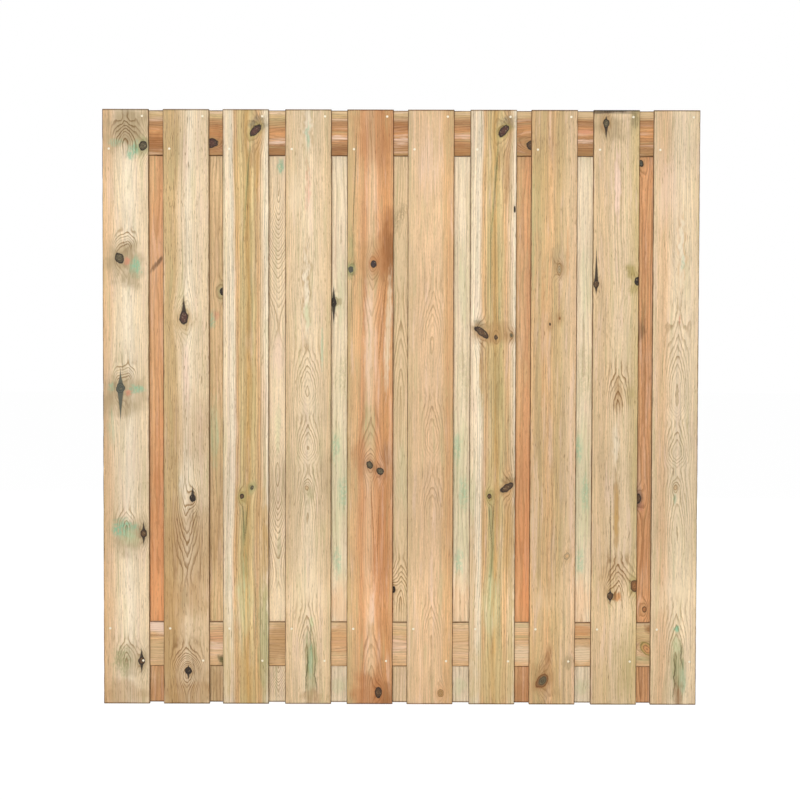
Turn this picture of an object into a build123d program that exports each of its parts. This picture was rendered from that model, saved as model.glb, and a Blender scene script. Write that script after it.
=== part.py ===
"""Wooden fence panel: upright boards nailed to both sides of two cross rails.

X runs along the panel, the front faces -Y and Z is up from the foot of the boards.
The front row of boards shows gaps, and the rear row stands behind those gaps.
"""

import os

from build123d import *

# Whole panel
panel_width = 1800.0
panel_height = 1800.0

# Boards, planed, with rounded long edges
board_width = 140.0
board_thickness = 15.0
board_edge_radius = 3.0
# How far each front board is laid from its even place, from left to right
front_board_lay = (0.0, -2.5, -7.0, -2.5, 0.0, -2.0, 2.0, 0.5, 3.0, 0.0)

# Rails, planed boards laid flat between the two rows
rail_width = 136.0
rail_thickness = 15.0
rail_edge_radius = 2.0
rail_setback = 2.0
foot_to_bottom_rail = 113.0

# Flat-head nails with a square shank, driven flush; few sides keep so many heads light
nail_head = 7.0
nail_head_sides = 7
nail_head_thickness = 1.2
nail_shank = 2.8
nail_clearance = 0.05
nail_tip_cover = 3.0
nail_to_board_edge = 20.0
nail_to_rail_edge = 19.0

# Places worked out from the sizes above
front_count = len(front_board_lay)
pitch = (panel_width - board_width) / (front_count - 1)
even_places = [pitch * i - (panel_width - board_width) / 2 for i in range(front_count)]
front_places = [even + lay for even, lay in zip(even_places, front_board_lay)]
rear_places = [even + pitch / 2 for even in even_places[:-1]]
row_offset = (rail_thickness + board_thickness) / 2
half_depth = rail_thickness / 2 + board_thickness
nail_length = board_thickness + rail_thickness - nail_tip_cover

# A rail's middle height, and 1 where the right nail of each pair is the upper one, else -1
rails = {
    "top_rail": (panel_height - rail_setback - rail_width / 2, 1),
    "bottom_rail": (foot_to_bottom_rail + rail_width / 2, -1),
}

# The panel's two faces, both with Z up, and the way into the wood along their normal
front_face = Plane.XZ.offset(half_depth)
rear_face = Plane.XZ.offset(-half_depth)
front_inward = -1
rear_inward = 1


def nail_pair(board_place, rail):
    """The two nails, on a slant, that hold one board to one rail."""
    rail_height, slant = rails[rail]
    across = board_width / 2 - nail_to_board_edge
    up = slant * (rail_width / 2 - nail_to_rail_edge)
    return [
        (board_place + across, rail_height + up),
        (board_place - across, rail_height - up),
    ]


def nails_in(board_places, rail_names):
    """Every nail through the given boards into the given rails."""
    return [
        nail
        for place in board_places
        for rail in rail_names
        for nail in nail_pair(place, rail)
    ]


def nail_heads(places, face, inward, clearance=0.0, mode=Mode.ADD):
    """Round flat heads whose tops lie in the face, or the seats they sink into."""
    with BuildSketch(face) as outline:
        with Locations(*places):
            RegularPolygon(nail_head / 2 + clearance, nail_head_sides)
    extrude(outline.sketch, amount=inward * nail_head_thickness, mode=mode)


def nail_shanks(places, face, inward, clearance=0.0, mode=Mode.ADD):
    """Square shanks from the face into the rail, or the holes they fill."""
    with BuildSketch(face) as outline:
        with Locations(*places):
            Rectangle(nail_shank + 2 * clearance, nail_shank + 2 * clearance)
    extrude(outline.sketch, amount=inward * (nail_length + clearance), mode=mode)


def export(piece, name):
    """Label a finished piece and write it out."""
    piece.part.label = name
    export_step(piece.part, f"parts/{name}.step")


os.makedirs("parts", exist_ok=True)

# Each row: name, places along X, middle of the row in Y, its outer face, the way into the wood
rows = [
    ("front", front_places, -row_offset, front_face, front_inward),
    ("rear", rear_places, row_offset, rear_face, rear_inward),
]

# Boards
for row, places, middle, face, inward in rows:
    for number, place in enumerate(places, start=1):
        nails = nails_in([place], rails)
        with BuildPart() as board:
            with BuildSketch(Plane.XY):
                with Locations((place, middle)):
                    RectangleRounded(board_width, board_thickness, board_edge_radius)
            extrude(amount=panel_height)
            nail_heads(nails, face, inward, nail_clearance, Mode.SUBTRACT)
            nail_shanks(nails, face, inward, nail_clearance, Mode.SUBTRACT)
        export(board, f"{row}_board_{number:02d}")

# Rails
rail_length = panel_width - 2 * rail_setback
for name, (height, slant) in rails.items():
    with BuildPart() as rail:
        with BuildSketch(Plane.YZ.offset(-rail_length / 2)):
            with Locations((0, height)):
                RectangleRounded(rail_thickness, rail_width, rail_edge_radius)
        extrude(amount=rail_length)
        for row, places, middle, face, inward in rows:
            nails = nails_in(places, [name])
            nail_shanks(nails, face, inward, nail_clearance, Mode.SUBTRACT)
    export(rail, name)

# Nails, one group for each row of boards
for row, places, middle, face, inward in rows:
    nails = nails_in(places, rails)
    with BuildPart() as nail_group:
        nail_heads(nails, face, inward)
        nail_shanks(nails, face, inward)
    export(nail_group, f"{row}_nails")
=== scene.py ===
"""Looks of a wooden fence panel: planed pine boards, cross rails and flush nails around the fixed frame."""

import logging
import math
from dataclasses import dataclass, field, replace
from enum import Enum
from typing import Callable, Iterable, Sequence

import bmesh
import bpy
import numpy as np
from mathutils import Matrix, Vector


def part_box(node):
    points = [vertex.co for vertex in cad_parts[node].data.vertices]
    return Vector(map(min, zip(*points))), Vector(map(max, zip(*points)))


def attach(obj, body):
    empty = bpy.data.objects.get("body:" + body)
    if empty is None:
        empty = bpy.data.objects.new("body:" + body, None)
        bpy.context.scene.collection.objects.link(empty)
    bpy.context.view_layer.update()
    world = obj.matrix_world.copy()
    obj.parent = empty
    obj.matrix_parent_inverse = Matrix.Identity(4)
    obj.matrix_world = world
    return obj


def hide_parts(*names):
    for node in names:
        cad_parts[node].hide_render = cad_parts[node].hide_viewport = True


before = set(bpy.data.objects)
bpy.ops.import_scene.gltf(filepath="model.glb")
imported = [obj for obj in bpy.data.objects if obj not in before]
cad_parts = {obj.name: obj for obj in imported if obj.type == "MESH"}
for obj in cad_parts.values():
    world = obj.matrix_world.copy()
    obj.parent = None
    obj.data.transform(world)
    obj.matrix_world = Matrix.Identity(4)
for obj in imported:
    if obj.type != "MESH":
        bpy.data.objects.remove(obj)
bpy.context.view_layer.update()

LOG = logging.getLogger("fence_panel")
MM = 0.001
# Stretch of a noise or a patch along an axis where it should not change
ENDLESS = 1e6
BODY = "root"

Socket = bpy.types.NodeSocket
Value = float | Socket
Colour = tuple[float, float, float, float] | Socket


class Run(Enum):
    """Which way the grain of a piece runs."""

    UPRIGHT = "boards stand along Z"
    LEVEL = "rails lie along X"


class Tone(Enum):
    """Colours of the wood, its knots and its stains, as red, green and blue from 0 to 255."""

    SAP_WHITE = (239, 222, 193)
    CREAM = (234, 212, 177)
    PALE_TAN = (227, 201, 162)
    TAN = (220, 190, 148)
    STRAW = (214, 188, 136)
    KHAKI = (206, 175, 126)
    OCHRE = (203, 163, 102)
    PEACH = (227, 191, 149)
    APRICOT = (218, 177, 128)
    SALMON = (213, 159, 111)
    EMBER = (222, 152, 98)
    HEART = (208, 151, 98)
    RUST = (188, 126, 76)
    UMBER = (178, 138, 88)
    RAIL_BROWN = (180, 134, 90)
    GREY_TAN = (176, 153, 115)
    PINK = (214, 148, 118)
    BLUSH = (240, 210, 186)
    GREENWOOD = (190, 181, 130)
    MINT = (142, 194, 158)
    SAP_GREEN = (208, 208, 162)
    MOSS = (146, 150, 100)
    DARK_OLIVE = (98, 92, 52)
    CHESTNUT = (150, 99, 54)
    COPPER = (164, 106, 56)
    OLIVE = (172, 152, 88)
    SLATE = (84, 86, 74)
    KNOT_RED = (88, 54, 44)
    KNOT_BROWN = (96, 68, 42)
    KNOT_GREY = (96, 86, 62)
    BARK = (42, 32, 24)
    PLUM = (60, 42, 42)

    def linear(self, alpha: float = 1.0) -> tuple[float, float, float, float]:
        """Return the tone as a linear colour for a shader socket.

        Args:
            alpha: its fourth number.

        Returns:
            Red, green, blue and alpha.
        """
        parts = [c / 255 for c in self.value]
        red, green, blue = [c / 12.92 if c <= 0.04045 else ((c + 0.055) / 1.055) ** 2.4 for c in parts]
        return (red, green, blue, alpha)


@dataclass(frozen=True)
class Knot:
    """A branch cut through by the saw, in millimetres on its piece.

    Attributes:
        across: place from the middle line of the piece.
        up: place along the piece.
        width: full width of the knot.
        length: full length of the knot along the grain.
        lean: turn of the knot in its face, in degrees.
        core: colour of its heart.
        rim: colour of its border.
        spikes: how far the dark split reaches up and down the grain, or 0 for both.
        bend: how strongly the grain parts around it.
        shade: strength of the darker wood around it.
        halo: colour of that wood.
    """

    across: float
    up: float
    width: float
    length: float
    lean: float = 0.0
    core: Tone = Tone.KNOT_BROWN
    rim: Tone = Tone.BARK
    spikes: tuple[float, float] = (0.0, 0.0)
    bend: float = 1.0
    shade: float = 0.45
    halo: Tone = Tone.UMBER


@dataclass(frozen=True)
class Stain:
    """A soft patch of other colour, in millimetres on its piece.

    Attributes:
        across: place from the middle line of the piece.
        up: place along the piece.
        width: full width of the patch.
        length: full length of the patch.
        tone: its colour.
        strength: how much of that colour shows in the middle.
        streaky: how much the patch follows single fibres.
        lean: turn of the patch in its face, in degrees.
        veined: how much the patch breaks up into veins.
        sway: how far the patch waves from side to side.
    """

    across: float
    up: float
    width: float
    length: float
    tone: Tone
    strength: float = 0.5
    streaky: float = 0.5
    lean: float = 0.0
    veined: float = 0.0
    sway: float = 0.0


@dataclass(frozen=True)
class Arch:
    """A nest of pointed year rings, where the face runs out through the log, in millimetres.

    Attributes:
        up: middle of the nest along the piece.
        length: length over which the rings close.
        rise: how much deeper the log's heart lies above the nest; below 0 the points look down.
        fade: length over which the heart comes back beyond the nest.
        mark: how much darker its lines are than the other rings.
        width: width beyond which the rings run straight again.
    """

    up: float
    length: float
    rise: float
    fade: float = 300.0
    mark: float = 0.5
    width: float = 100.0


@dataclass(frozen=True)
class Grain:
    """How the year rings of the log meet the face of a piece, in millimetres.

    Attributes:
        ring: spacing of the year rings in the log.
        pith_across: place of the log's heart across the piece.
        pith_depth: depth of the log's heart behind the piece.
        pith_sway: slow change of that depth.
        wander: sideways sway of the grain.
        jag: small raggedness of the rings.
        contrast: darkness of the late wood.
        streak: strength of the broad streaks.
        flecks: strength of the small brown dashes.
    """

    ring: float = 6.5
    pith_across: float = 0.0
    pith_depth: float = 45.0
    pith_sway: float = 4.0
    wander: float = 5.0
    jag: float = 0.5
    contrast: float = 0.5
    streak: float = 0.5
    flecks: float = 0.4


class NodeSheet:
    """Shader nodes of one material, laid out and wired by plain calls."""

    BUMP_STRENGTH = 0.6
    SPECULAR = 0.25

    def __init__(self, name: str) -> None:
        """Start an empty material.

        Args:
            name: name of the material.
        """
        self.material = bpy.data.materials.new(name)
        self.material.use_nodes = True
        self.tree = self.material.node_tree
        self.tree.nodes.clear()
        self.noises: dict[tuple, Socket] = {}

    def node(self, kind: str, **settings: object) -> bpy.types.Node:
        """Add a node.

        Args:
            kind: node type without its ShaderNode prefix.
            settings: attributes to set on the node.

        Returns:
            The new node.
        """
        made = self.tree.nodes.new("ShaderNode" + kind)
        for key, value in settings.items():
            setattr(made, key, value)
        return made

    def feed(self, socket: Socket, value: object) -> None:
        """Link a socket, or set it where the value is a constant.

        Args:
            socket: input of a node.
            value: another node's output, or a constant.
        """
        if isinstance(value, bpy.types.NodeSocket):
            self.tree.links.new(value, socket)
        else:
            socket.default_value = value

    def math(self, operation: str, first: Value, second: Value = 0.0, third: Value = 0.0) -> Socket:
        """Return a Math node's result.

        Args:
            operation: what the node works out.
            first: first number.
            second: second number.
            third: third number, for operations that take one.

        Returns:
            The result.
        """
        made = self.node("Math", operation=operation)
        for socket, value in zip(made.inputs, (first, second, third)):
            self.feed(socket, value)
        return made.outputs[0]

    def vector(self, operation: str, first: object, second: object = (0.0, 0.0, 0.0)) -> bpy.types.Node:
        """Add a Vector Math node.

        Args:
            operation: what the node works out.
            first: first vector.
            second: second vector.

        Returns:
            The node.
        """
        made = self.node("VectorMath", operation=operation)
        self.feed(made.inputs[0], first)
        self.feed(made.inputs[1], second)
        return made

    def join(self, x: Value, y: Value, z: Value) -> Socket:
        """Return three numbers as one vector.

        Args:
            x: first number.
            y: second number.
            z: third number.

        Returns:
            The vector.
        """
        made = self.node("CombineXYZ")
        for socket, value in zip(made.inputs, (x, y, z)):
            self.feed(socket, value)
        return made.outputs[0]

    def span(self, value: Value, low: float, high: float, start: float = 0.0, end: float = 1.0) -> Socket:
        """Return a smooth step between two values.

        Args:
            value: number to map.
            low: where the step begins.
            high: where the step ends.
            start: result before it.
            end: result after it.

        Returns:
            The mapped number.
        """
        made = self.node("MapRange", interpolation_type="SMOOTHSTEP")
        for socket, number in zip(made.inputs[:5], (value, low, high, start, end)):
            self.feed(socket, number)
        return made.outputs[0]

    def noise(self, place: Socket, stretch: Sequence[float], detail: float = 2.0) -> Socket:
        """Return noise from -1 to 1, added once for each place and size.

        Args:
            place: where to read it, in millimetres.
            stretch: size of its features along each axis, in millimetres.
            detail: octaves of finer noise.

        Returns:
            The noise, about 0 on average.
        """
        key = (place.node.name, place.identifier, tuple(stretch), detail)
        if key not in self.noises:
            made = self.node("TexNoise")
            self.feed(made.inputs["Vector"], self.vector("DIVIDE", place, tuple(stretch)).outputs[0])
            made.inputs["Scale"].default_value = 1.0
            made.inputs["Detail"].default_value = detail
            self.noises[key] = self.math("MULTIPLY_ADD", made.outputs[0], 4.0, -2.0)
        return self.noises[key]

    def blend(self, share: Value, under: Colour, over: Colour, mode: str = "MIX") -> Socket:
        """Return one colour laid over another.

        Args:
            share: how much of the upper colour shows.
            under: lower colour.
            over: upper colour.
            mode: how the two are mixed.

        Returns:
            The mixed colour.
        """
        made = self.node("Mix", data_type="RGBA", blend_type=mode)
        self.feed(made.inputs[0], share)
        self.feed(made.inputs[6], under)
        self.feed(made.inputs[7], over)
        return made.outputs[2]

    def ramp(self, value: Socket, stops: Iterable[tuple[float, tuple[float, float, float, float]]]) -> Socket:
        """Return a colour read from a row of stops.

        Args:
            value: where to read, from 0 to 1.
            stops: colours with their places.

        Returns:
            The colour.
        """
        made = self.node("ValToRGB")
        made.color_ramp.interpolation = "EASE"
        points = list(stops)
        elements = made.color_ramp.elements
        while len(elements) < len(points):
            elements.new(0.5)
        for element, (place, colour) in zip(elements, points):
            element.position = place
            element.color = colour
        self.feed(made.inputs[0], value)
        return made.outputs[0]

    def patch(
        self, place: Socket, across: float, up: float, width: float, length: float, lean: float
    ) -> Socket:
        """Return the place seen from an oval's middle, where its border is at distance 1.

        Args:
            place: across, depth and up in millimetres.
            across: middle of the oval across the piece.
            up: middle of the oval along the piece.
            width: full width.
            length: full length.
            lean: turn in the face, in degrees.

        Returns:
            A vector whose depth is near 0.
        """
        made = self.node("Mapping", vector_type="TEXTURE")
        self.feed(made.inputs["Vector"], place)
        made.inputs["Location"].default_value = (across, 0.0, up)
        made.inputs["Rotation"].default_value = (0.0, math.radians(lean), 0.0)
        made.inputs["Scale"].default_value = (width / 2, ENDLESS, length / 2)
        return made.outputs[0]

    def finish(self, colour: Colour, roughness: Value, height: Socket, relief: float) -> bpy.types.Material:
        """Wire the surface shader and return the material.

        Args:
            colour: base colour.
            roughness: roughness.
            height: relief from 0 to 1.
            relief: depth of that relief in metres.

        Returns:
            The finished material.
        """
        bump = self.node("Bump")
        bump.inputs["Strength"].default_value = self.BUMP_STRENGTH
        bump.inputs["Distance"].default_value = relief
        self.feed(bump.inputs["Height"], height)
        shader = self.node("BsdfPrincipled")
        shader.inputs["Specular IOR Level"].default_value = self.SPECULAR
        self.feed(shader.inputs["Base Color"], colour)
        self.feed(shader.inputs["Roughness"], roughness)
        self.feed(shader.inputs["Normal"], bump.outputs[0])
        out = self.node("OutputMaterial")
        self.feed(out.inputs[0], shader.outputs[0])
        return self.material


# How light the boards of each row are along their height, from 0 at the foot to 1 at the top
FRONT_HEIGHT_LEVELS = (
    (0.0, 0.94), (0.03, 0.97), (0.09, 1.02), (0.175, 1.10), (0.27, 0.94), (0.38, 0.90),
    (0.47, 0.95), (0.63, 1.0), (0.75, 1.0), (0.86, 1.065), (0.95, 0.945), (1.0, 0.94),
)
# Painted light: the rear levels stand above the front ones through the lower half, against the shade in the
# deep gaps between the front boards.
REAR_LEVELS_WITH_PAINTED_LIGHT = (
    (0.0, 0.95), (0.05, 0.97), (0.09, 1.05), (0.175, 1.17), (0.27, 1.02), (0.38, 0.96),
    (0.47, 1.05), (0.63, 1.03), (0.75, 1.0), (0.86, 1.06), (0.95, 0.96), (1.0, 0.95),
)


@dataclass(frozen=True)
class WoodFinish:
    """Planed pine, as one piece of it looks.

    Attributes:
        seed: picks this piece's own noise.
        bands: tones across the piece, each with its place from 0 at the left to 1 at the right.
        grain: how the year rings meet the face.
        arches: nests of pointed rings.
        knots: branches in the piece.
        stains: patches of other colour.
        weather: how light the wood is along the piece, each level with its place from 0 at the foot to 1; on
            the rear boards part of it is painted light.
    """

    seed: int
    bands: tuple[tuple[float, Tone], ...]
    grain: Grain = Grain()
    arches: tuple[Arch, ...] = ()
    knots: tuple[Knot, ...] = ()
    stains: tuple[Stain, ...] = ()
    weather: tuple[tuple[float, float], ...] = FRONT_HEIGHT_LEVELS

    LATE_TINT = (0.47, 0.36, 0.23, 1.0)
    FLECK_TINT = (0.42, 0.33, 0.23, 1.0)
    BRIGHTEST = 1.3
    ROUGHNESS = 0.62
    RELIEF = 0.0006
    POINTED = 1.5
    PARTING = 0.82
    LEAST_LINE = 0.15
    # Painted shade with some dirt: the dark tint of the long edges stands in for the shade in the gaps
    # between boards.
    EDGE_SHADE_AND_DIRT_TINT = (0.20, 0.14, 0.09, 1.0)
    END_TINT = (0.24, 0.18, 0.12, 1.0)
    EDGE_BAND = (3.2, 1.0)
    END_BAND = (5.0, 2.0)
    SAWN_BAND = (0.8, 0.3)
    FLANK_BAND = (3.2, 5.2)
    END_GRAIN_BAND = (4.2, 6.2)

    def material(
        self, name: str, middle: Vector, width: float, ends: tuple[float, float], run: Run
    ) -> bpy.types.Material:
        """Return the finish as a material.

        Args:
            name: name of the material.
            middle: a point on the middle line of the piece, in metres.
            width: width of the piece in millimetres.
            ends: where the piece begins and ends along its grain, in millimetres.
            run: which way the grain runs.

        Returns:
            The material.
        """
        sheet = NodeSheet(name)
        where = sheet.node("TexCoord").outputs["Object"]
        local = sheet.vector("SUBTRACT", where, tuple(middle)).outputs[0]
        parts = sheet.node("SeparateXYZ")
        sheet.feed(parts.inputs[0], sheet.vector("DIVIDE", local, (MM, MM, MM)).outputs[0])
        x, depth, z = parts.outputs
        across, up = (x, z) if run is Run.UPRIGHT else (z, x)
        place = sheet.join(across, depth, up)
        shift = (self.seed * 371.0, self.seed * 117.0, self.seed * 2531.0)
        own = sheet.vector("ADD", place, shift).outputs[0]

        line = self._grain_line(sheet, across, up, own)
        late = self._rings(sheet, line, depth, place, up, own)
        shift = (self.seed * 91.0, 0.0, self.seed * 773.0)
        flow = sheet.vector("ADD", sheet.join(line, depth, up), shift).outputs[0]

        colour = self._plain_wood(sheet, line, width, flow)
        for stain in self.stains:
            colour = self._stain(sheet, stain, place, own, flow, colour)
        if run is Run.UPRIGHT:
            colour = self._levels_and_painted_light(sheet, up, ends, colour)
        for knot in self.knots:
            colour = self._halo(sheet, knot, place, own, colour)
        colour = self._lines(sheet, late, flow, colour)
        relief = sheet.math("MULTIPLY", late, 0.25)
        for knot in self.knots:
            colour, relief = self._knot(sheet, knot, place, own, colour, relief)
        colour = self._edges(sheet, place, width, ends, own, colour)

        fibre = sheet.noise(flow, (0.9, 2.0, 60.0), 3.0)
        height = sheet.math("MULTIPLY_ADD", fibre, 0.2, relief)
        roughness = sheet.math("MULTIPLY_ADD", fibre, 0.06, self.ROUGHNESS)
        return sheet.finish(colour, roughness, height, self.RELIEF)

    def _grain_line(self, sheet: NodeSheet, across: Socket, up: Socket, own: Socket) -> Socket:
        """Return the place across the piece that each fibre had before it swayed and parted round knots.

        Args:
            sheet: nodes of the material.
            across: place across the piece.
            up: place along the piece.
            own: place in this piece's own noise.

        Returns:
            The fibre's first place.
        """
        sway = sheet.noise(own, (400.0, ENDLESS, 520.0), 1.0)
        ripple = sheet.noise(own, (45.0, ENDLESS, 170.0), 2.0)
        line = sheet.math("MULTIPLY_ADD", sway, self.grain.wander, across)
        line = sheet.math("MULTIPLY_ADD", ripple, 1.6, line)
        for knot in self.knots:
            half = knot.width * 0.95 * knot.bend
            reach = max(knot.length, *knot.spikes) * 0.8 + 18.0
            rise = sheet.math("DIVIDE", sheet.math("SUBTRACT", up, knot.up), reach)
            fade = sheet.math("EXPONENT", sheet.math("MULTIPLY", sheet.math("MULTIPLY", rise, rise), -1.0))
            side = sheet.math("SUBTRACT", line, knot.across)
            near = sheet.math("DIVIDE", side, half)
            near = sheet.math("EXPONENT", sheet.math("MULTIPLY", sheet.math("MULTIPLY", near, near), -1.0))
            pull = sheet.math("MULTIPLY", sheet.math("MULTIPLY", near, fade), -self.PARTING)
            line = sheet.math("MULTIPLY_ADD", side, pull, line)
        return line

    def _rings(
        self, sheet: NodeSheet, line: Socket, depth: Socket, place: Socket, up: Socket, own: Socket
    ) -> Socket:
        """Return the late wood of the year rings.

        Args:
            sheet: nodes of the material.
            line: place across the piece along the fibres.
            depth: place through the piece.
            place: across, depth and up together.
            up: place along the piece.
            own: place in this piece's own noise.

        Returns:
            From 0 to about 1, and more where the grain is disturbed.
        """
        grain = self.grain
        sway = sheet.noise(own, (ENDLESS, ENDLESS, 430.0), 2.0)
        heart = sheet.math("MULTIPLY_ADD", sway, grain.pith_sway, grain.pith_depth)
        heart = sheet.math("ADD", heart, depth)
        stress = 1.0
        side = sheet.math("SUBTRACT", line, grain.pith_across)
        off_side = sheet.math("ABSOLUTE", side)
        for arch in self.arches:
            low, high = arch.up - arch.length / 2, arch.up + arch.length / 2
            if arch.rise > 0:
                near = sheet.span(up, low, high, 0.0, arch.rise)
                beyond = sheet.span(up, high, high + arch.fade, 1.0, 0.0)
                calm = sheet.span(up, high, high + arch.fade * 0.3, 0.0, -1.2)
            else:
                near = sheet.span(up, low, high, -arch.rise, 0.0)
                beyond = sheet.span(up, low - arch.fade, low, 0.0, 1.0)
                calm = sheet.span(up, low - arch.fade * 0.3, low, -1.2, 0.0)
            inside = sheet.span(off_side, arch.width * 0.1, arch.width * 0.6, 1.0, 0.0)
            heart = sheet.math("MULTIPLY_ADD", sheet.math("MULTIPLY", near, inside), beyond, heart)
            off = sheet.math("ABSOLUTE", sheet.math("SUBTRACT", up, arch.up))
            mark = sheet.span(off, arch.length * 0.4, arch.length * 0.8, arch.mark, 0.0)
            mark = sheet.math("MULTIPLY_ADD", calm, beyond, mark)
            stress = sheet.math("MULTIPLY_ADD", mark, inside, stress)
            stress = sheet.math("MAXIMUM", stress, self.LEAST_LINE)
        wide = sheet.math("POWER", off_side, self.POINTED)
        deep = sheet.math("POWER", sheet.math("ABSOLUTE", heart), self.POINTED)
        radius = sheet.math("POWER", sheet.math("ADD", wide, deep), 1.0 / self.POINTED)
        for knot in self.knots:
            oval = sheet.patch(place, knot.across, knot.up, knot.width * 2.0, knot.width * 3.4, 0.0)
            far = sheet.vector("DOT_PRODUCT", oval, oval).outputs["Value"]
            swell = sheet.math("EXPONENT", sheet.math("MULTIPLY", far, -1.0))
            radius = sheet.math("MULTIPLY_ADD", swell, -0.75 * knot.width * knot.bend, radius)
            stress = sheet.math("MULTIPLY_ADD", swell, 0.8, stress)
        wave = sheet.noise(own, (22.0, 22.0, 130.0), 2.0)
        radius = sheet.math("MULTIPLY_ADD", wave, 0.9, radius)
        radius = sheet.math("MULTIPLY_ADD", sheet.noise(own, (8.0, 9.0, 24.0), 2.0), grain.jag, radius)
        if self.knots or self.arches:
            upset = sheet.math("SUBTRACT", stress, 1.0)
            curl = sheet.math("MULTIPLY", upset, sheet.noise(own, (14.0, 14.0, 20.0), 1.0))
            radius = sheet.math("MULTIPLY_ADD", curl, 0.08 * grain.ring, radius)
        phase = sheet.math("DIVIDE", radius, grain.ring)
        within = sheet.math("FRACT", phase)
        year = sheet.node("TexWhiteNoise", noise_dimensions="1D")
        sheet.feed(year.inputs["W"], sheet.math("FLOOR", phase))
        growth = sheet.span(within, 0.40, 0.86)
        stop = sheet.span(within, 0.90, 1.0, 1.0, 0.0)
        late = sheet.math("MULTIPLY", growth, stop)
        late = sheet.math("MULTIPLY", late, sheet.math("MULTIPLY_ADD", year.outputs["Value"], 0.7, 0.3))
        return sheet.math("MULTIPLY", late, stress)

    def _plain_wood(self, sheet: NodeSheet, line: Socket, width: float, flow: Socket) -> Socket:
        """Return the colour of the clear wood with its broad streaks and tints.

        Args:
            sheet: nodes of the material.
            line: place across the piece along the fibres.
            width: width of the piece.
            flow: place along the fibres.

        Returns:
            The colour.
        """
        grain = self.grain
        drift = sheet.noise(flow, (60.0, 60.0, 700.0), 2.0)
        band = sheet.math("MULTIPLY_ADD", sheet.math("MULTIPLY_ADD", drift, 7.0, line), 1.0 / width, 0.5)
        colour = sheet.ramp(band, [(spot, tone.linear()) for spot, tone in self.bands])
        broad = sheet.noise(flow, (6.5, 9.0, 600.0), 3.0)
        fine = sheet.noise(flow, (3.0, 3.0, 90.0), 4.0)
        cloud = sheet.noise(flow, (70.0, 80.0, 240.0), 3.0)
        speck = sheet.noise(flow, (3.4, 3.4, 8.0), 1.0)
        light = sheet.math("MULTIPLY_ADD", broad, 0.12 * grain.streak, 1.0)
        light = sheet.math("MULTIPLY_ADD", fine, 0.19, light)
        light = sheet.math("MULTIPLY_ADD", cloud, 0.09, light)
        light = sheet.math("MULTIPLY_ADD", speck, 0.06, light)
        colour = sheet.blend(1.0, colour, sheet.join(light, light, light), "MULTIPLY")
        pink = sheet.noise(flow, (13.0, 13.0, 170.0), 3.0)
        colour = sheet.blend(sheet.span(pink, 0.1, 1.0, 0.0, 0.42), colour, Tone.BLUSH.linear())
        colour = sheet.blend(sheet.span(pink, -0.1, -1.0, 0.0, 0.34), colour, Tone.GREENWOOD.linear())
        return colour

    def _lines(self, sheet: NodeSheet, late: Socket, flow: Socket, colour: Socket) -> Socket:
        """Return the colour with the year rings and the small brown dashes drawn over it.

        Args:
            sheet: nodes of the material.
            late: late wood of the year rings.
            flow: place along the fibres.
            colour: colour so far.

        Returns:
            The colour.
        """
        grain = self.grain
        share = sheet.math("MINIMUM", sheet.math("MULTIPLY", late, grain.contrast), 1.0)
        colour = sheet.blend(share, colour, sheet.blend(1.0, colour, self.LATE_TINT, "MULTIPLY"))
        dash = sheet.noise(flow, (1.9, 3.0, 24.0), 1.0)
        share = sheet.math("MULTIPLY", sheet.span(dash, 0.45, 0.95), grain.flecks)
        return sheet.blend(share, colour, sheet.blend(1.0, colour, self.FLECK_TINT, "MULTIPLY"))

    def _levels_and_painted_light(self, sheet: NodeSheet, up: Socket, ends: tuple[float, float], colour: Socket) -> Socket:
        """Return the colour lighter and darker along an upright board; on the rear boards the extra lift in
        the lower half is painted light against the shade in the gaps.

        Args:
            sheet: nodes of the material.
            up: place along the piece.
            ends: where the piece begins and ends.
            colour: colour so far.

        Returns:
            The colour.
        """
        height = sheet.math("DIVIDE", up, ends[1])
        greys = [(spot, (level / self.BRIGHTEST,) * 3 + (1.0,)) for spot, level in self.weather]
        level = sheet.vector("MULTIPLY", sheet.ramp(height, greys), (self.BRIGHTEST,) * 3).outputs[0]
        return sheet.blend(1.0, colour, level, "MULTIPLY")

    def _stain(
        self, sheet: NodeSheet, stain: Stain, place: Socket, own: Socket, flow: Socket, colour: Socket
    ) -> Socket:
        """Return the colour with one patch laid over it.

        Args:
            sheet: nodes of the material.
            stain: the patch.
            place: across, depth and up together.
            own: place in this piece's own noise.
            flow: place along the fibres.
            colour: colour so far.

        Returns:
            The colour.
        """
        if stain.sway:
            shift = sheet.math("MULTIPLY", sheet.noise(own, (120.0, ENDLESS, 40.0), 2.0), stain.sway)
            place = sheet.vector("ADD", place, sheet.join(shift, 0.0, 0.0)).outputs[0]
        oval = sheet.patch(place, stain.across, stain.up, stain.width, stain.length, stain.lean)
        far = sheet.vector("LENGTH", oval).outputs["Value"]
        stretch = (stain.width * 0.3, ENDLESS, min(stain.length * 0.3, stain.width * 1.3))
        ragged = sheet.noise(own, stretch, 2.0)
        far = sheet.math("MULTIPLY_ADD", ragged, 0.35, far)
        share = sheet.span(far, 0.30, 1.12, stain.strength, 0.0)
        thread = sheet.noise(flow, (3.0, 5.0, 110.0), 2.0)
        thread = sheet.span(thread, -0.5, 0.6, 1.0 - stain.streaky, 1.0)
        share = sheet.math("MULTIPLY", share, thread)
        if stain.veined:
            vein = sheet.math("ABSOLUTE", sheet.noise(own, (11.0, ENDLESS, 17.0), 3.0))
            share = sheet.math("MULTIPLY", share, sheet.span(vein, 0.06, 0.5, 1.0, 1.0 - stain.veined))
        return sheet.blend(share, colour, stain.tone.linear())

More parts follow.
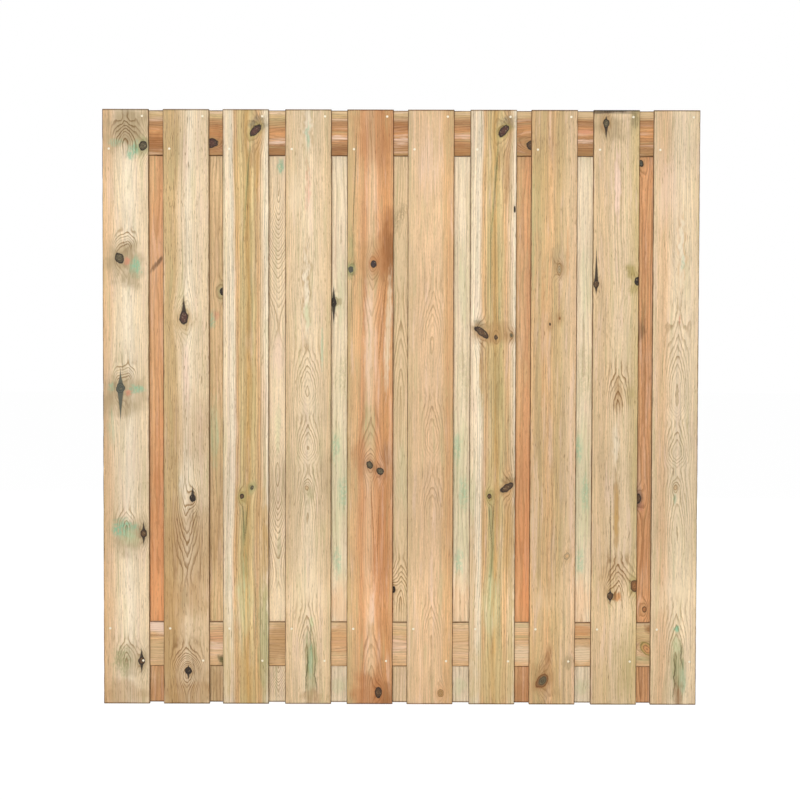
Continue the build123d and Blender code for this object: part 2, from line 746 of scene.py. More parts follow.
    def _halo(self, sheet: NodeSheet, knot: Knot, place: Socket, own: Socket, colour: Socket) -> Socket:
        """Return the colour with the darker wood around one knot.

        Args:
            sheet: nodes of the material.
            knot: the knot.
            place: across, depth and up together.
            own: place in this piece's own noise.
            colour: colour so far.

        Returns:
            The colour.
        """
        oval = sheet.patch(place, knot.across, knot.up, knot.width + 26.0, knot.length + 50.0, knot.lean)
        ragged = sheet.noise(own, (12.0, ENDLESS, 22.0), 3.0)
        far = sheet.math("MULTIPLY_ADD", ragged, 0.22, sheet.vector("LENGTH", oval).outputs["Value"])
        return sheet.blend(sheet.span(far, 0.25, 1.05, knot.shade, 0.0), colour, knot.halo.linear())

    def _knot(
        self, sheet: NodeSheet, knot: Knot, place: Socket, own: Socket, colour: Socket, relief: Socket
    ) -> tuple[Socket, Socket]:
        """Return the colour and relief with one knot laid in.

        Args:
            sheet: nodes of the material.
            knot: the knot.
            place: across, depth and up together.
            own: place in this piece's own noise.
            colour: colour so far.
            relief: relief so far.

        Returns:
            The colour and the relief.
        """
        oval = sheet.patch(place, knot.across, knot.up, knot.width, knot.length, knot.lean)
        rough = sheet.noise(own, (knot.width * 0.45, ENDLESS, knot.length * 0.45), 3.0)
        far = sheet.math("MULTIPLY_ADD", rough, 0.16, sheet.vector("LENGTH", oval).outputs["Value"])
        if max(knot.spikes) > 0.0:
            parts = sheet.node("SeparateXYZ")
            sheet.feed(parts.inputs[0], sheet.patch(place, knot.across, knot.up, knot.width * 0.95, 2.0, 0.0))
            above = sheet.math("DIVIDE", parts.outputs[2], max(knot.spikes[0], 1.0))
            below = sheet.math("DIVIDE", parts.outputs[2], -max(knot.spikes[1], 1.0))
            reach = sheet.math("POWER", sheet.math("MAXIMUM", above, below), 0.85)
            breadth = sheet.math("POWER", sheet.math("ABSOLUTE", parts.outputs[0]), 0.80)
            edge = sheet.math("ADD", reach, breadth)
            split = sheet.span(sheet.math("MULTIPLY_ADD", rough, 0.05, edge), 0.74, 1.02, 0.95, 0.0)
            colour = sheet.blend(split, colour, knot.rim.linear())
            relief = sheet.math("MULTIPLY_ADD", split, -0.8, relief)
        inside = sheet.span(far, 0.86, 1.04, 1.0, 0.0)
        turns = sheet.math("SINE", sheet.math("MULTIPLY", far, 17.0))
        tone = sheet.blend(sheet.span(far, 0.35, 0.92), knot.core.linear(), knot.rim.linear())
        tone = sheet.blend(sheet.span(turns, 0.0, 1.0, 0.0, 0.45), tone, Tone.BARK.linear())
        glint = sheet.span(sheet.noise(own, (5.0, ENDLESS, 6.0), 3.0), 0.15, 0.9, 0.0, 0.55)
        glint = sheet.math("MULTIPLY", glint, sheet.span(far, 0.5, 0.85, 1.0, 0.0))
        tone = sheet.blend(glint, tone, Tone.GREY_TAN.linear())
        colour = sheet.blend(inside, colour, tone)
        return colour, sheet.math("MULTIPLY_ADD", inside, 0.35, relief)

    def _edges(
        self, sheet: NodeSheet, place: Socket, width: float, ends: tuple[float, float],
        own: Socket, colour: Socket
    ) -> Socket:
        """Return the colour darkened on the rounded long edges, as painted gap shade with some dirt, and
        around the sawn ends.

        Args:
            sheet: nodes of the material.
            place: across, depth and up together.
            width: width of the piece.
            ends: where the piece begins and ends.
            own: place in this piece's own noise.
            colour: colour so far.

        Returns:
            The colour.
        """
        parts = sheet.node("SeparateXYZ")
        sheet.feed(parts.inputs[0], place)
        across, depth, up = parts.outputs
        patchy = sheet.noise(own, (30.0, 30.0, 45.0), 3.0)
        side = sheet.math("ABSOLUTE", across)
        side = sheet.math("MULTIPLY_ADD", patchy, 0.9, side)
        half = width / 2
        # Painted shade: the long edges darken where the gaps between boards lie in shade, with some dirt in
        # the eased corners.
        share = sheet.span(side, half - self.EDGE_BAND[0], half - self.EDGE_BAND[1], 0.0, 0.95)
        rim = sheet.span(sheet.math("ABSOLUTE", depth), *self.FLANK_BAND, 0.30, 1.0)
        share = sheet.math("MULTIPLY", share, rim)
        colour = sheet.blend(share, colour, sheet.blend(1.0, colour, self.EDGE_SHADE_AND_DIRT_TINT, "MULTIPLY"))
        half = (ends[1] - ends[0]) / 2
        along = sheet.math("ABSOLUTE", sheet.math("SUBTRACT", up, (ends[0] + ends[1]) / 2))
        uneven = sheet.math("MULTIPLY_ADD", patchy, 0.6, along)
        share = sheet.span(uneven, half - self.END_BAND[0], half - self.END_BAND[1], 0.0, 0.9)
        sawn = sheet.span(along, half - self.SAWN_BAND[0], half - self.SAWN_BAND[1], 0.0, 0.7)
        inner = sheet.span(sheet.math("ABSOLUTE", depth), *self.END_GRAIN_BAND, 1.0, 0.0)
        lighter = sheet.math("MULTIPLY", inner, -1.0)
        share = sheet.math("MULTIPLY", share, sheet.math("MULTIPLY_ADD", sawn, lighter, 1.0))
        return sheet.blend(share, colour, sheet.blend(1.0, colour, self.END_TINT, "MULTIPLY"))


def even(*tones: Tone) -> tuple[tuple[float, Tone], ...]:
    """Return tones spread evenly from the left edge of a piece to the right.

    Args:
        tones: the tones in order.

    Returns:
        Each tone with its place from 0 to 1.
    """
    return tuple((i / max(1, len(tones) - 1), tone) for i, tone in enumerate(tones))


OCHRE_HEART = WoodFinish(
    seed=3,
    bands=(
        (0.0, Tone.CREAM), (0.20, Tone.SAP_WHITE), (0.30, Tone.APRICOT), (0.42, Tone.STRAW),
        (0.55, Tone.OCHRE), (0.66, Tone.STRAW), (0.78, Tone.APRICOT), (0.88, Tone.PALE_TAN),
        (0.96, Tone.SAP_WHITE),
    ),
    grain=Grain(ring=5.0, pith_across=10, pith_depth=70, contrast=0.55, streak=2.0, flecks=0.6),
    knots=(
        Knot(30, 1737, 24, 46, lean=42, core=Tone.KNOT_RED, shade=0.75, halo=Tone.OLIVE),
        Knot(-12, 633, 14, 17, core=Tone.KNOT_BROWN, shade=0.7, halo=Tone.OLIVE),
        Knot(19, 659, 10, 15, lean=30, core=Tone.KNOT_GREY, rim=Tone.SLATE, shade=0.6, halo=Tone.MOSS),
    ),
    stains=(
        Stain(37, 1756, 56, 72, Tone.SLATE, 0.75, 0.3, 40, 0.4),
        Stain(20, 1660, 26, 130, Tone.CHESTNUT, 0.6, 0.9, 8),
        Stain(3, 1560, 13, 380, Tone.MOSS, 0.7, 0.6, 4),
        Stain(6, 1590, 4, 300, Tone.DARK_OLIVE, 0.8, 0.4, 4),
        Stain(34, 1640, 22, 260, Tone.OCHRE, 0.9, 0.5),
        Stain(-28, 1500, 26, 560, Tone.OCHRE, 0.6, 0.7),
        Stain(-8, 1330, 4, 360, Tone.DARK_OLIVE, 0.7, 0.5),
        Stain(16, 1330, 10, 560, Tone.MOSS, 0.45, 0.7, -1),
        Stain(-16, 1180, 9, 640, Tone.OLIVE, 0.5, 0.8),
        Stain(10, 1160, 3, 200, Tone.DARK_OLIVE, 0.8, 0.4),
        Stain(24, 980, 16, 400, Tone.OLIVE, 0.5, 0.8),
        Stain(-4, 470, 26, 380, Tone.MOSS, 0.75, 0.8),
        Stain(-7, 560, 4, 150, Tone.DARK_OLIVE, 0.9, 0.2, -3),
        Stain(2, 560, 4, 160, Tone.DARK_OLIVE, 0.9, 0.2, 4),
        Stain(-28, 500, 8, 260, Tone.OCHRE, 0.9, 0.4),
        Stain(44, 520, 30, 300, Tone.OCHRE, 0.7, 0.6),
        Stain(30, 290, 5, 330, Tone.DARK_OLIVE, 0.7, 0.4),
        Stain(48, 200, 40, 420, Tone.MOSS, 0.7, 0.7),
        Stain(56, 180, 4, 360, Tone.DARK_OLIVE, 0.7, 0.4),
        Stain(-8, 300, 60, 260, Tone.SAP_GREEN, 0.7, 0.7),
        Stain(10, 60, 150, 200, Tone.OCHRE, 0.4, 0.5),
        Stain(60, 480, 40, 380, Tone.OCHRE, 0.85, 0.3),
        Stain(60, 190, 40, 460, Tone.GREENWOOD, 0.9, 0.3),
        Stain(62, 200, 4, 380, Tone.DARK_OLIVE, 0.6, 0.4),
        Stain(44, 210, 4, 330, Tone.MOSS, 0.9, 0.3),
        Stain(-58, 130, 56, 340, Tone.STRAW, 0.8, 0.4),
    ),
)

CATHEDRAL = WoodFinish(
    seed=4,
    bands=even(Tone.TAN, Tone.PALE_TAN, Tone.CREAM, Tone.PALE_TAN, Tone.TAN),
    grain=Grain(
        ring=4.8, pith_across=-4, pith_depth=24, pith_sway=3, jag=0.8, contrast=0.38, streak=0.9,
        flecks=0.5,
    ),
    arches=(
        Arch(230, 150, 20, 300, 1.2),
        Arch(640, 170, 20, 60, 1.1),
        Arch(820, 110, 20, 80, 1.3),
        Arch(1010, 150, 24, 260, 1.2),
    ),
    knots=(Knot(-4, 659, 11, 15, core=Tone.TAN, rim=Tone.UMBER, shade=0.3, halo=Tone.GREY_TAN, bend=1.5),),
    stains=(
        Stain(-4, 1750, 42, 190, Tone.UMBER, 0.6, 0.1, 0, 0, 8),
        Stain(-4, 1750, 26, 170, Tone.SAP_WHITE, 1.0, 0.0, 0, 0, 8),
        Stain(-4, 1720, 14, 90, Tone.MINT, 0.6, 0.2, 0, 0.4, 8),
        Stain(-4, 1570, 20, 190, Tone.PINK, 0.5, 0.6, 0, 0, 8),
        Stain(-4, 1240, 34, 360, Tone.UMBER, 0.7, 0.1, 0, 0, 9),
        Stain(-4, 1240, 20, 340, Tone.SAP_WHITE, 1.0, 0.0, 0, 0, 9),
        Stain(-2, 1180, 24, 100, Tone.SAP_GREEN, 0.7, 0.3, 0, 0, 9),
        Stain(42, 1080, 10, 150, Tone.MINT, 0.5, 0.3),
        Stain(-40, 1540, 50, 200, Tone.CREAM, 0.7, 0.3),
        Stain(60, 690, 60, 200, Tone.GREY_TAN, 0.5, 0.4),
        Stain(4, 640, 30, 60, Tone.GREENWOOD, 0.5, 0.4),
        Stain(0, 320, 150, 150, Tone.CREAM, 0.5, 0.3),
        Stain(8, 120, 46, 270, Tone.MOSS, 0.95, 0.5, 0, 0, 4),
        Stain(8, 200, 5, 120, Tone.DARK_OLIVE, 0.7, 0.1, 0, 0, 4),
        Stain(-6, 90, 6, 170, Tone.DARK_OLIVE, 0.8, 0.1, 3, 0, 5),
        Stain(22, 80, 6, 160, Tone.DARK_OLIVE, 0.7, 0.1, -3, 0, 5),
        Stain(10, 250, 16, 44, Tone.SAP_GREEN, 0.9, 0.1),
        Stain(8, 130, 14, 130, Tone.MINT, 0.55, 0.3),
        Stain(10, 20, 70, 70, Tone.UMBER, 0.7, 0.4),
    ),
)

FRONT_FINISHES = (
    WoodFinish(
        seed=1,
        bands=(
            (0.0, Tone.APRICOT), (0.12, Tone.PEACH), (0.36, Tone.CREAM), (0.55, Tone.SAP_WHITE),
            (0.8, Tone.CREAM), (1.0, Tone.PALE_TAN),
        ),
        grain=Grain(
            ring=5.2, pith_across=1, pith_depth=22, pith_sway=3, contrast=0.34, streak=0.6,
            flecks=0.5,
        ),
        arches=(
            Arch(1735, 90, 34, 300, 3.2),
            Arch(1410, 56, 22, 300, 2.4, 80),
            Arch(1010, 56, 20, 330, 2.2, 70),
            Arch(565, 60, 18, 370, 1.4, 80),
            Arch(165, 70, 20, 320, 1.6, 80),
        ),
        knots=(
            Knot(53, 1690, 27, 30, core=Tone.KNOT_GREY, halo=Tone.MOSS, shade=0.7),
            Knot(-19, 1352, 28, 36, lean=-18, core=Tone.KNOT_GREY, halo=Tone.GREY_TAN, shade=0.6),
            Knot(-17, 960, 28, 34, core=Tone.SLATE, rim=Tone.SLATE, spikes=(66, 120), halo=Tone.GREY_TAN),
            Knot(52, 519, 22, 26, core=Tone.KNOT_BROWN, spikes=(46, 42), halo=Tone.GREY_TAN, shade=0.7),
            Knot(45, 131, 22, 26, core=Tone.KNOT_BROWN, spikes=(48, 46), halo=Tone.GREY_TAN, shade=0.7),
        ),
        stains=(
            Stain(0, 1740, 175, 170, Tone.GREY_TAN, 0.95, 0.2),
            Stain(-10, 1345, 150, 150, Tone.GREY_TAN, 0.95, 0.2),
            Stain(-14, 930, 150, 190, Tone.GREY_TAN, 0.85, 0.2),
            Stain(10, 510, 170, 150, Tone.GREY_TAN, 0.8, 0.3),
            Stain(20, 130, 130, 130, Tone.GREY_TAN, 0.6, 0.3),
            Stain(-5, 30, 175, 110, Tone.UMBER, 0.55, 0.3),
            Stain(4, 1344, 26, 30, Tone.PINK, 0.95, 0.1),
            Stain(31, 1325, 44, 76, Tone.MINT, 0.95, 0.2, 0, 0.5),
            Stain(6, 946, 24, 26, Tone.PINK, 0.85, 0.1),
            Stain(32, 957, 60, 34, Tone.MINT, 0.9, 0.2, 0, 0.6),
            Stain(-44, 962, 26, 36, Tone.MINT, 0.6, 0.2, 0, 0.6),
            Stain(24, 1676, 40, 70, Tone.MINT, 0.95, 0.2, 20, 0.6),
            Stain(-30, 1700, 60, 30, Tone.MINT, 0.5, 0.2, 0, 0.7),
            Stain(-8, 532, 100, 70, Tone.MINT, 0.9, 0.1, 20, 0.85),
            Stain(10, 505, 60, 80, Tone.SAP_GREEN, 0.6, 0.3),
            Stain(-12, 136, 70, 110, Tone.MOSS, 0.7, 0.3, 0, 0.6),
            Stain(20, 1290, 60, 90, Tone.GREY_TAN, 0.7, 0.2, -30),
            Stain(-45, 840, 30, 150, Tone.MINT, 0.35, 0.8),
        ),
    ),
    WoodFinish(
        seed=2,
        bands=(
            (0.0, Tone.KHAKI), (0.28, Tone.KHAKI), (0.38, Tone.PALE_TAN), (0.52, Tone.SAP_WHITE),
            (0.70, Tone.CREAM), (1.0, Tone.PALE_TAN),
        ),
        grain=Grain(
            ring=5.0, pith_across=0, pith_depth=20, pith_sway=3, contrast=0.42, streak=0.9,
            flecks=0.75,
        ),
        arches=(Arch(520, 250, -32, 185, 1.8, 110), Arch(120, 130, 34, 185, 2.4, 110)),
        knots=(
            Knot(-7, 1173, 29, 42, core=Tone.KNOT_RED, spikes=(82, 18), bend=1.2),
            Knot(19, 627, 20, 24, core=Tone.BARK, spikes=(48, 18), bend=1.2),
            Knot(5, 101, 22, 24, core=Tone.BARK, spikes=(22, 34), bend=1.6),
        ),
        stains=(
            Stain(20, 530, 4, 190, Tone.BARK, 0.6, 0.1),
            Stain(0, 1000, 26, 260, Tone.BLUSH, 0.8, 0.3),
            Stain(0, 1660, 22, 200, Tone.BLUSH, 0.5, 0.4),
            Stain(0, 840, 200, 260, Tone.UMBER, 0.35, 0.3),
            Stain(0, 440, 300, 420, Tone.UMBER, 0.75, 0.3),
            Stain(-20, 190, 300, 420, Tone.UMBER, 0.6, 0.3),
            Stain(10, 30, 200, 140, Tone.UMBER, 0.8, 0.3),
            Stain(-6, 316, 30, 90, Tone.GREY_TAN, 0.7, 0.3),
            Stain(8, 470, 46, 170, Tone.CREAM, 0.5, 0.7),
            Stain(-11, 672, 28, 84, Tone.SAP_WHITE, 0.95, 0.0),
            Stain(-4, 760, 12, 130, Tone.SAP_WHITE, 0.7, 0.2),
            Stain(2, 240, 18, 160, Tone.PALE_TAN, 0.8, 0.3),
            Stain(-7, 1170, 90, 130, Tone.KHAKI, 0.7, 0.4),
        ),
    ),
    OCHRE_HEART,
    CATHEDRAL,
    WoodFinish(
        seed=5,
        bands=(
            (0.0, Tone.KHAKI), (0.16, Tone.APRICOT), (0.36, Tone.SALMON), (0.52, Tone.PEACH),
            (0.68, Tone.SALMON), (0.84, Tone.HEART), (1.0, Tone.SALMON),
        ),
        grain=Grain(ring=5.4, pith_across=4, pith_depth=22, contrast=0.34, streak=1.1, flecks=0.4),
        arches=(
            Arch(1240, 190, -18, 260), Arch(800, 160, 20, 300, 0.8, 80),
            Arch(150, 160, 20, 200, 0.8, 80),
        ),
        knots=(
            Knot(10, 1336, 19, 24, core=Tone.PLUM, halo=Tone.RUST, shade=0.7, bend=1.3),
            Knot(-59, 1320, 17, 20, core=Tone.SLATE, rim=Tone.SLATE, halo=Tone.MOSS, shade=0.8),
            Knot(-1, 729, 20, 26, lean=-20, core=Tone.KNOT_GREY, halo=Tone.CHESTNUT),
            Knot(31, 710, 22, 26, lean=-40, core=Tone.KNOT_GREY, halo=Tone.CHESTNUT),
            Knot(27, 36, 22, 36, core=Tone.KNOT_BROWN, halo=Tone.RUST, shade=0.7),
        ),
        stains=(
            Stain(10, 1340, 170, 170, Tone.UMBER, 0.6, 0.3),
            Stain(40, 1345, 80, 110, Tone.RUST, 0.8, 0.3),
            Stain(54, 1395, 62, 240, Tone.COPPER, 0.95, 0.1),
            Stain(58, 1370, 34, 150, Tone.CHESTNUT, 0.8, 0.2),
            Stain(62, 1300, 12, 180, Tone.CHESTNUT, 0.8, 0.2),
            Stain(20, 1720, 190, 230, Tone.RUST, 0.6, 0.4),
            Stain(-62, 1560, 28, 560, Tone.KHAKI, 0.9, 0.2, 2),
            Stain(-48, 1560, 5, 520, Tone.DARK_OLIVE, 0.8, 0.3, 2),
            Stain(-56, 1380, 24, 160, Tone.MOSS, 0.6, 0.5),
            Stain(54, 1130, 22, 440, Tone.CREAM, 0.9, 0.3, 2),
            Stain(38, 1180, 6, 360, Tone.CHESTNUT, 0.8, 0.4, 5),
            Stain(-6, 1120, 30, 380, Tone.BLUSH, 0.5, 0.5),
            Stain(-6, 850, 44, 170, Tone.GREENWOOD, 0.7, 0.6),
            Stain(-30, 760, 60, 160, Tone.RUST, 0.5, 0.4),
            Stain(50, 760, 40, 120, Tone.CHESTNUT, 0.6, 0.4),
            Stain(40, 470, 44, 520, Tone.RUST, 0.75, 0.6),
            Stain(8, 570, 5, 260, Tone.CHESTNUT, 0.9, 0.2, -3),
            Stain(26, 540, 5, 300, Tone.CHESTNUT, 0.9, 0.2, 2),
            Stain(14, 440, 14, 200, Tone.RUST, 0.8, 0.4),
            Stain(10, 500, 110, 760, Tone.EMBER, 0.4, 0.4),
            Stain(8, 290, 20, 120, Tone.BLUSH, 0.6, 0.4),
            Stain(-56, 1240, 4, 160, Tone.DARK_OLIVE, 0.7, 0.2, 1),
            Stain(0, 30, 150, 170, Tone.RUST, 0.85, 0.3),
            Stain(45, 20, 70, 110, Tone.CHESTNUT, 0.7, 0.3),
        ),
    ),
    WoodFinish(
        seed=6,
        bands=(
            (0.0, Tone.TAN), (0.3, Tone.PEACH), (0.7, Tone.PEACH), (0.82, Tone.APRICOT),
            (1.0, Tone.APRICOT),
        ),
        grain=Grain(
            ring=5.0, pith_across=6, pith_depth=26, pith_sway=3, jag=0.9, contrast=0.28, streak=0.7,
            flecks=0.35,
        ),
        arches=(
            Arch(260, 130, 18, 250, 1.0),
            Arch(640, 150, 20, 110, 1.0),
            Arch(860, 160, 20, 150, 1.2),
            Arch(1190, 200, 22, 260, 1.0),
        ),
        knots=(Knot(34, 34, 20, 26, core=Tone.UMBER, rim=Tone.UMBER, halo=Tone.HEART),),
        stains=(
            Stain(58, 1000, 26, 1700, Tone.SALMON, 0.6, 0.4),
            Stain(-60, 900, 20, 1500, Tone.KHAKI, 0.5, 0.6),
            Stain(-10, 1650, 70, 260, Tone.BLUSH, 0.4, 0.5),
        ),
    ),
    replace(
        OCHRE_HEART,
        seed=7,
        knots=OCHRE_HEART.knots[:1] + (
            Knot(44, 661, 22, 48, lean=58, core=Tone.KNOT_BROWN, shade=0.7),
            Knot(-9, 635, 14, 17, core=Tone.KNOT_BROWN, shade=0.7, halo=Tone.OLIVE),
            Knot(-34, 1131, 22, 56, lean=-52, core=Tone.KNOT_BROWN, rim=Tone.BARK, shade=0.7),
            Knot(9, 1116, 12, 14, core=Tone.KNOT_BROWN),
            Knot(56, 1122, 13, 20, core=Tone.KNOT_GREY, rim=Tone.UMBER),
            Knot(64, 1502, 6, 22, core=Tone.BARK, bend=0.4, shade=0.2),
        ),
        stains=OCHRE_HEART.stains[:4] + OCHRE_HEART.stains[6:16] + (
            Stain(0, 1130, 170, 90, Tone.UMBER, 0.7, 0.3),
            Stain(-34, 1010, 22, 220, Tone.OCHRE, 0.9, 0.5),
            Stain(-33, 1050, 15, 150, Tone.CHESTNUT, 0.5, 0.4),
            Stain(36, 1610, 28, 210, Tone.CHESTNUT, 0.42, 0.5),
            Stain(-40, 1150, 50, 50, Tone.DARK_OLIVE, 0.6, 0.3, -50),
            Stain(50, 680, 44, 60, Tone.DARK_OLIVE, 0.6, 0.5, 58),
            Stain(24, 270, 5, 330, Tone.DARK_OLIVE, 0.7, 0.4),
            Stain(-58, 260, 5, 240, Tone.MOSS, 0.8, 0.4, 3),
            Stain(-2, 300, 66, 280, Tone.SAP_GREEN, 0.75, 0.6),
            Stain(0, 80, 190, 220, Tone.STRAW, 0.7, 0.4),
            Stain(-62, 330, 36, 660, Tone.TAN, 0.9, 0.3),
            Stain(-60, 640, 24, 200, Tone.SAP_GREEN, 0.6, 0.4),
            Stain(58, 470, 40, 420, Tone.OCHRE, 0.8, 0.4),
            Stain(60, 170, 40, 440, Tone.STRAW, 0.85, 0.3),
        ),
    ),
    WoodFinish(
        seed=8,
        bands=even(Tone.APRICOT, Tone.KHAKI, Tone.APRICOT, Tone.KHAKI, Tone.TAN, Tone.PEACH),
        grain=Grain(ring=3.4, pith_across=-10, pith_depth=60, contrast=0.34, streak=1.9, flecks=0.6),
        knots=(
            Knot(16, 1322, 17, 40, core=Tone.GREY_TAN, rim=Tone.UMBER, shade=0.6),
            Knot(44, 453, 18, 24, lean=30, core=Tone.APRICOT, rim=Tone.GREY_TAN, shade=0.3, bend=0.6),
            Knot(-28, 72, 36, 54, lean=35, core=Tone.KNOT_GREY, rim=Tone.CHESTNUT, shade=0.8, bend=0.6),
            Knot(18, 1174, 8, 12, core=Tone.CHESTNUT, rim=Tone.UMBER, bend=0.5),
            Knot(-11, 1156, 6, 10, core=Tone.KNOT_BROWN, bend=0.5),
        ),
        stains=(
            Stain(14, 1350, 60, 170, Tone.GREY_TAN, 0.6, 0.5),
            Stain(16, 1240, 5, 170, Tone.CHESTNUT, 0.7, 0.2),
            Stain(-62, 1450, 16, 520, Tone.GREENWOOD, 0.8, 0.4),
            Stain(-40, 1600, 60, 260, Tone.OLIVE, 0.35, 0.6),
            Stain(-33, 1130, 16, 620, Tone.HEART, 0.55, 0.6),
            Stain(42, 1380, 14, 240, Tone.HEART, 0.6, 0.5),
            Stain(-56, 560, 26, 560, Tone.BLUSH, 0.5, 0.5),
            Stain(58, 640, 20, 700, Tone.BLUSH, 0.5, 0.5),
            Stain(0, 330, 150, 120, Tone.TAN, 0.5, 0.3),
            Stain(-24, 80, 90, 150, Tone.UMBER, 0.65, 0.3),
            Stain(-12, 140, 26, 120, Tone.CHESTNUT, 0.7, 0.4, 12),
            Stain(50, 130, 40, 60, Tone.GREY_TAN, 0.7, 0.2),
        ),
    ),
    WoodFinish(
        seed=9,
        bands=even(Tone.TAN, Tone.TAN, Tone.PALE_TAN, Tone.PALE_TAN, Tone.STRAW),
        grain=Grain(
            ring=5.4, pith_across=11, pith_depth=20, pith_sway=3, jag=0.6, contrast=0.34,
            streak=1.1, flecks=0.6,
        ),
        arches=(Arch(392, 110, 26, 330, 3.0, 100), Arch(965, 120, 22, 300, 2.4, 90)),
        knots=(
            Knot(-32, 1760, 20, 28, core=Tone.KNOT_GREY, spikes=(30, 60), shade=0.7),
            Knot(-59, 1277, 18, 26, core=Tone.KNOT_BROWN, spikes=(135, 40)),
            Knot(66, 1286, 20, 28, core=Tone.BARK, halo=Tone.OLIVE, shade=0.6),
            Knot(-11, 332, 20, 24, core=Tone.KNOT_BROWN, spikes=(30, 30)),
            Knot(63, 363, 26, 40, core=Tone.CHESTNUT, rim=Tone.KNOT_BROWN, halo=Tone.OLIVE, shade=0.6),
        ),
        stains=(
            Stain(-20, 1750, 150, 110, Tone.GREY_TAN, 0.8, 0.3),
            Stain(-10, 1798, 190, 26, Tone.BARK, 0.95, 0.2),
            Stain(54, 1775, 30, 70, Tone.DARK_OLIVE, 0.7, 0.5),
            Stain(4, 1575, 38, 280, Tone.UMBER, 0.4, 0.3, 0, 0, 4),
            Stain(4, 1575, 24, 260, Tone.BLUSH, 1.0, 0.0, 0, 0, 4),
            Stain(46, 1316, 40, 60, Tone.OLIVE, 0.85, 0.2, -20),
            Stain(50, 1260, 30, 40, Tone.OLIVE, 0.6, 0.3, 20),
            Stain(9, 940, 34, 130, Tone.UMBER, 0.9, 0.4),
            Stain(46, 950, 40, 90, Tone.OLIVE, 0.5, 0.3),
            Stain(4, 790, 26, 150, Tone.SAP_WHITE, 0.9, 0.1),
            Stain(6, 590, 26, 270, Tone.UMBER, 0.8, 0.2),
            Stain(6, 580, 16, 230, Tone.OCHRE, 0.95, 0.2),
            Stain(13, 330, 28, 38, Tone.HEART, 0.95, 0.0),
            Stain(-11, 455, 5, 460, Tone.KNOT_BROWN, 0.9, 0.3),
            Stain(-2, 400, 90, 140, Tone.UMBER, 0.5, 0.5),
            Stain(36, 120, 90, 300, Tone.OLIVE, 0.55, 0.6),
            Stain(-30, 60, 60, 200, Tone.STRAW, 0.5, 0.4),
        ),
    ),
    replace(
        CATHEDRAL,
        seed=10,
        bands=even(Tone.PALE_TAN, Tone.PEACH, Tone.CREAM, Tone.CREAM, Tone.PALE_TAN),
        grain=replace(CATHEDRAL.grain, pith_across=8),
        arches=(
            Arch(220, 160, 20, 250, 1.2),
            Arch(610, 210, 22, 60, 1.0),
            Arch(800, 120, 18, 60, 1.1),
            Arch(1070, 280, 36, 260, 1.1),
        ),
        knots=(Knot(3, 662, 11, 17, core=Tone.TAN, rim=Tone.UMBER, shade=0.3, halo=Tone.GREY_TAN, bend=1.5),),
        stains=(
            Stain(17, 1390, 34, 320, Tone.APRICOT, 0.7, 0.1, 0, 0, 9),
            Stain(17, 1390, 20, 300, Tone.SAP_WHITE, 1.0, 0.0, 0, 0, 9),
            Stain(20, 1340, 16, 60, Tone.MINT, 0.4, 0.3, 0, 0.5),
            Stain(12, 1170, 7, 40, Tone.PINK, 0.8, 0.1),
            Stain(2, 628, 12, 40, Tone.MINT, 0.5, 0.3),
            Stain(-30, 1560, 70, 260, Tone.BLUSH, 0.5, 0.3),
            Stain(0, 320, 150, 150, Tone.CREAM, 0.5, 0.3),
            Stain(14, 110, 44, 230, Tone.MOSS, 0.95, 0.5, 0, 0, 4),
            Stain(10, 180, 30, 60, Tone.SAP_GREEN, 0.8, 0.2),
            Stain(11, 232, 20, 26, Tone.MINT, 0.9, 0.1),
            Stain(26, 150, 7, 110, Tone.DARK_OLIVE, 0.7, 0.1, 0, 0, 5),
            Stain(4, 90, 6, 170, Tone.DARK_OLIVE, 0.8, 0.1, 0, 0, 5),
            Stain(30, 70, 26, 120, Tone.MINT, 0.55, 0.4),
            Stain(16, 30, 34, 110, Tone.CHESTNUT, 0.8, 0.4),
        ),
    ),
)

SALMON_HEART = WoodFinish(
    seed=21,
    bands=even(Tone.SALMON, Tone.APRICOT, Tone.SALMON, Tone.HEART),
    grain=Grain(ring=4.6, pith_depth=70, contrast=0.4, streak=0.8, flecks=0.4),
    stains=(
        Stain(0, 1200, 60, 500, Tone.PEACH, 0.3, 0.6),
        Stain(0, 480, 200, 900, Tone.EMBER, 0.8, 0.3),
        Stain(0, 20, 90, 140, Tone.RUST, 0.5, 0.3),
    ),
)

PALE_SAP = WoodFinish(
    seed=24,
    bands=even(Tone.CREAM, Tone.SAP_WHITE, Tone.CREAM),
    grain=Grain(ring=6.0, pith_depth=50, contrast=0.4, streak=0.8, flecks=0.4),
    stains=(
        Stain(0, 900, 200, 2400, Tone.STRAW, 0.22, 0.4),
        Stain(-4, 650, 80, 640, Tone.SAP_GREEN, 0.6, 0.5),
        Stain(-12, 780, 30, 110, Tone.MINT, 0.5, 0.2, 0, 0.7),
        Stain(10, 640, 34, 130, Tone.MINT, 0.5, 0.2, 0, 0.7),
        Stain(-6, 430, 32, 110, Tone.MINT, 0.5, 0.2, 0, 0.7),
        Stain(6, 1000, 60, 240, Tone.GREENWOOD, 0.5, 0.4, 0, 0.7),
        Stain(6, 1260, 40, 300, Tone.SAP_GREEN, 0.5, 0.7),
        Stain(0, 300, 80, 200, Tone.PEACH, 0.8, 0.3),
        Stain(0, 50, 60, 60, Tone.SAP_GREEN, 0.5, 0.3),
    ),
)

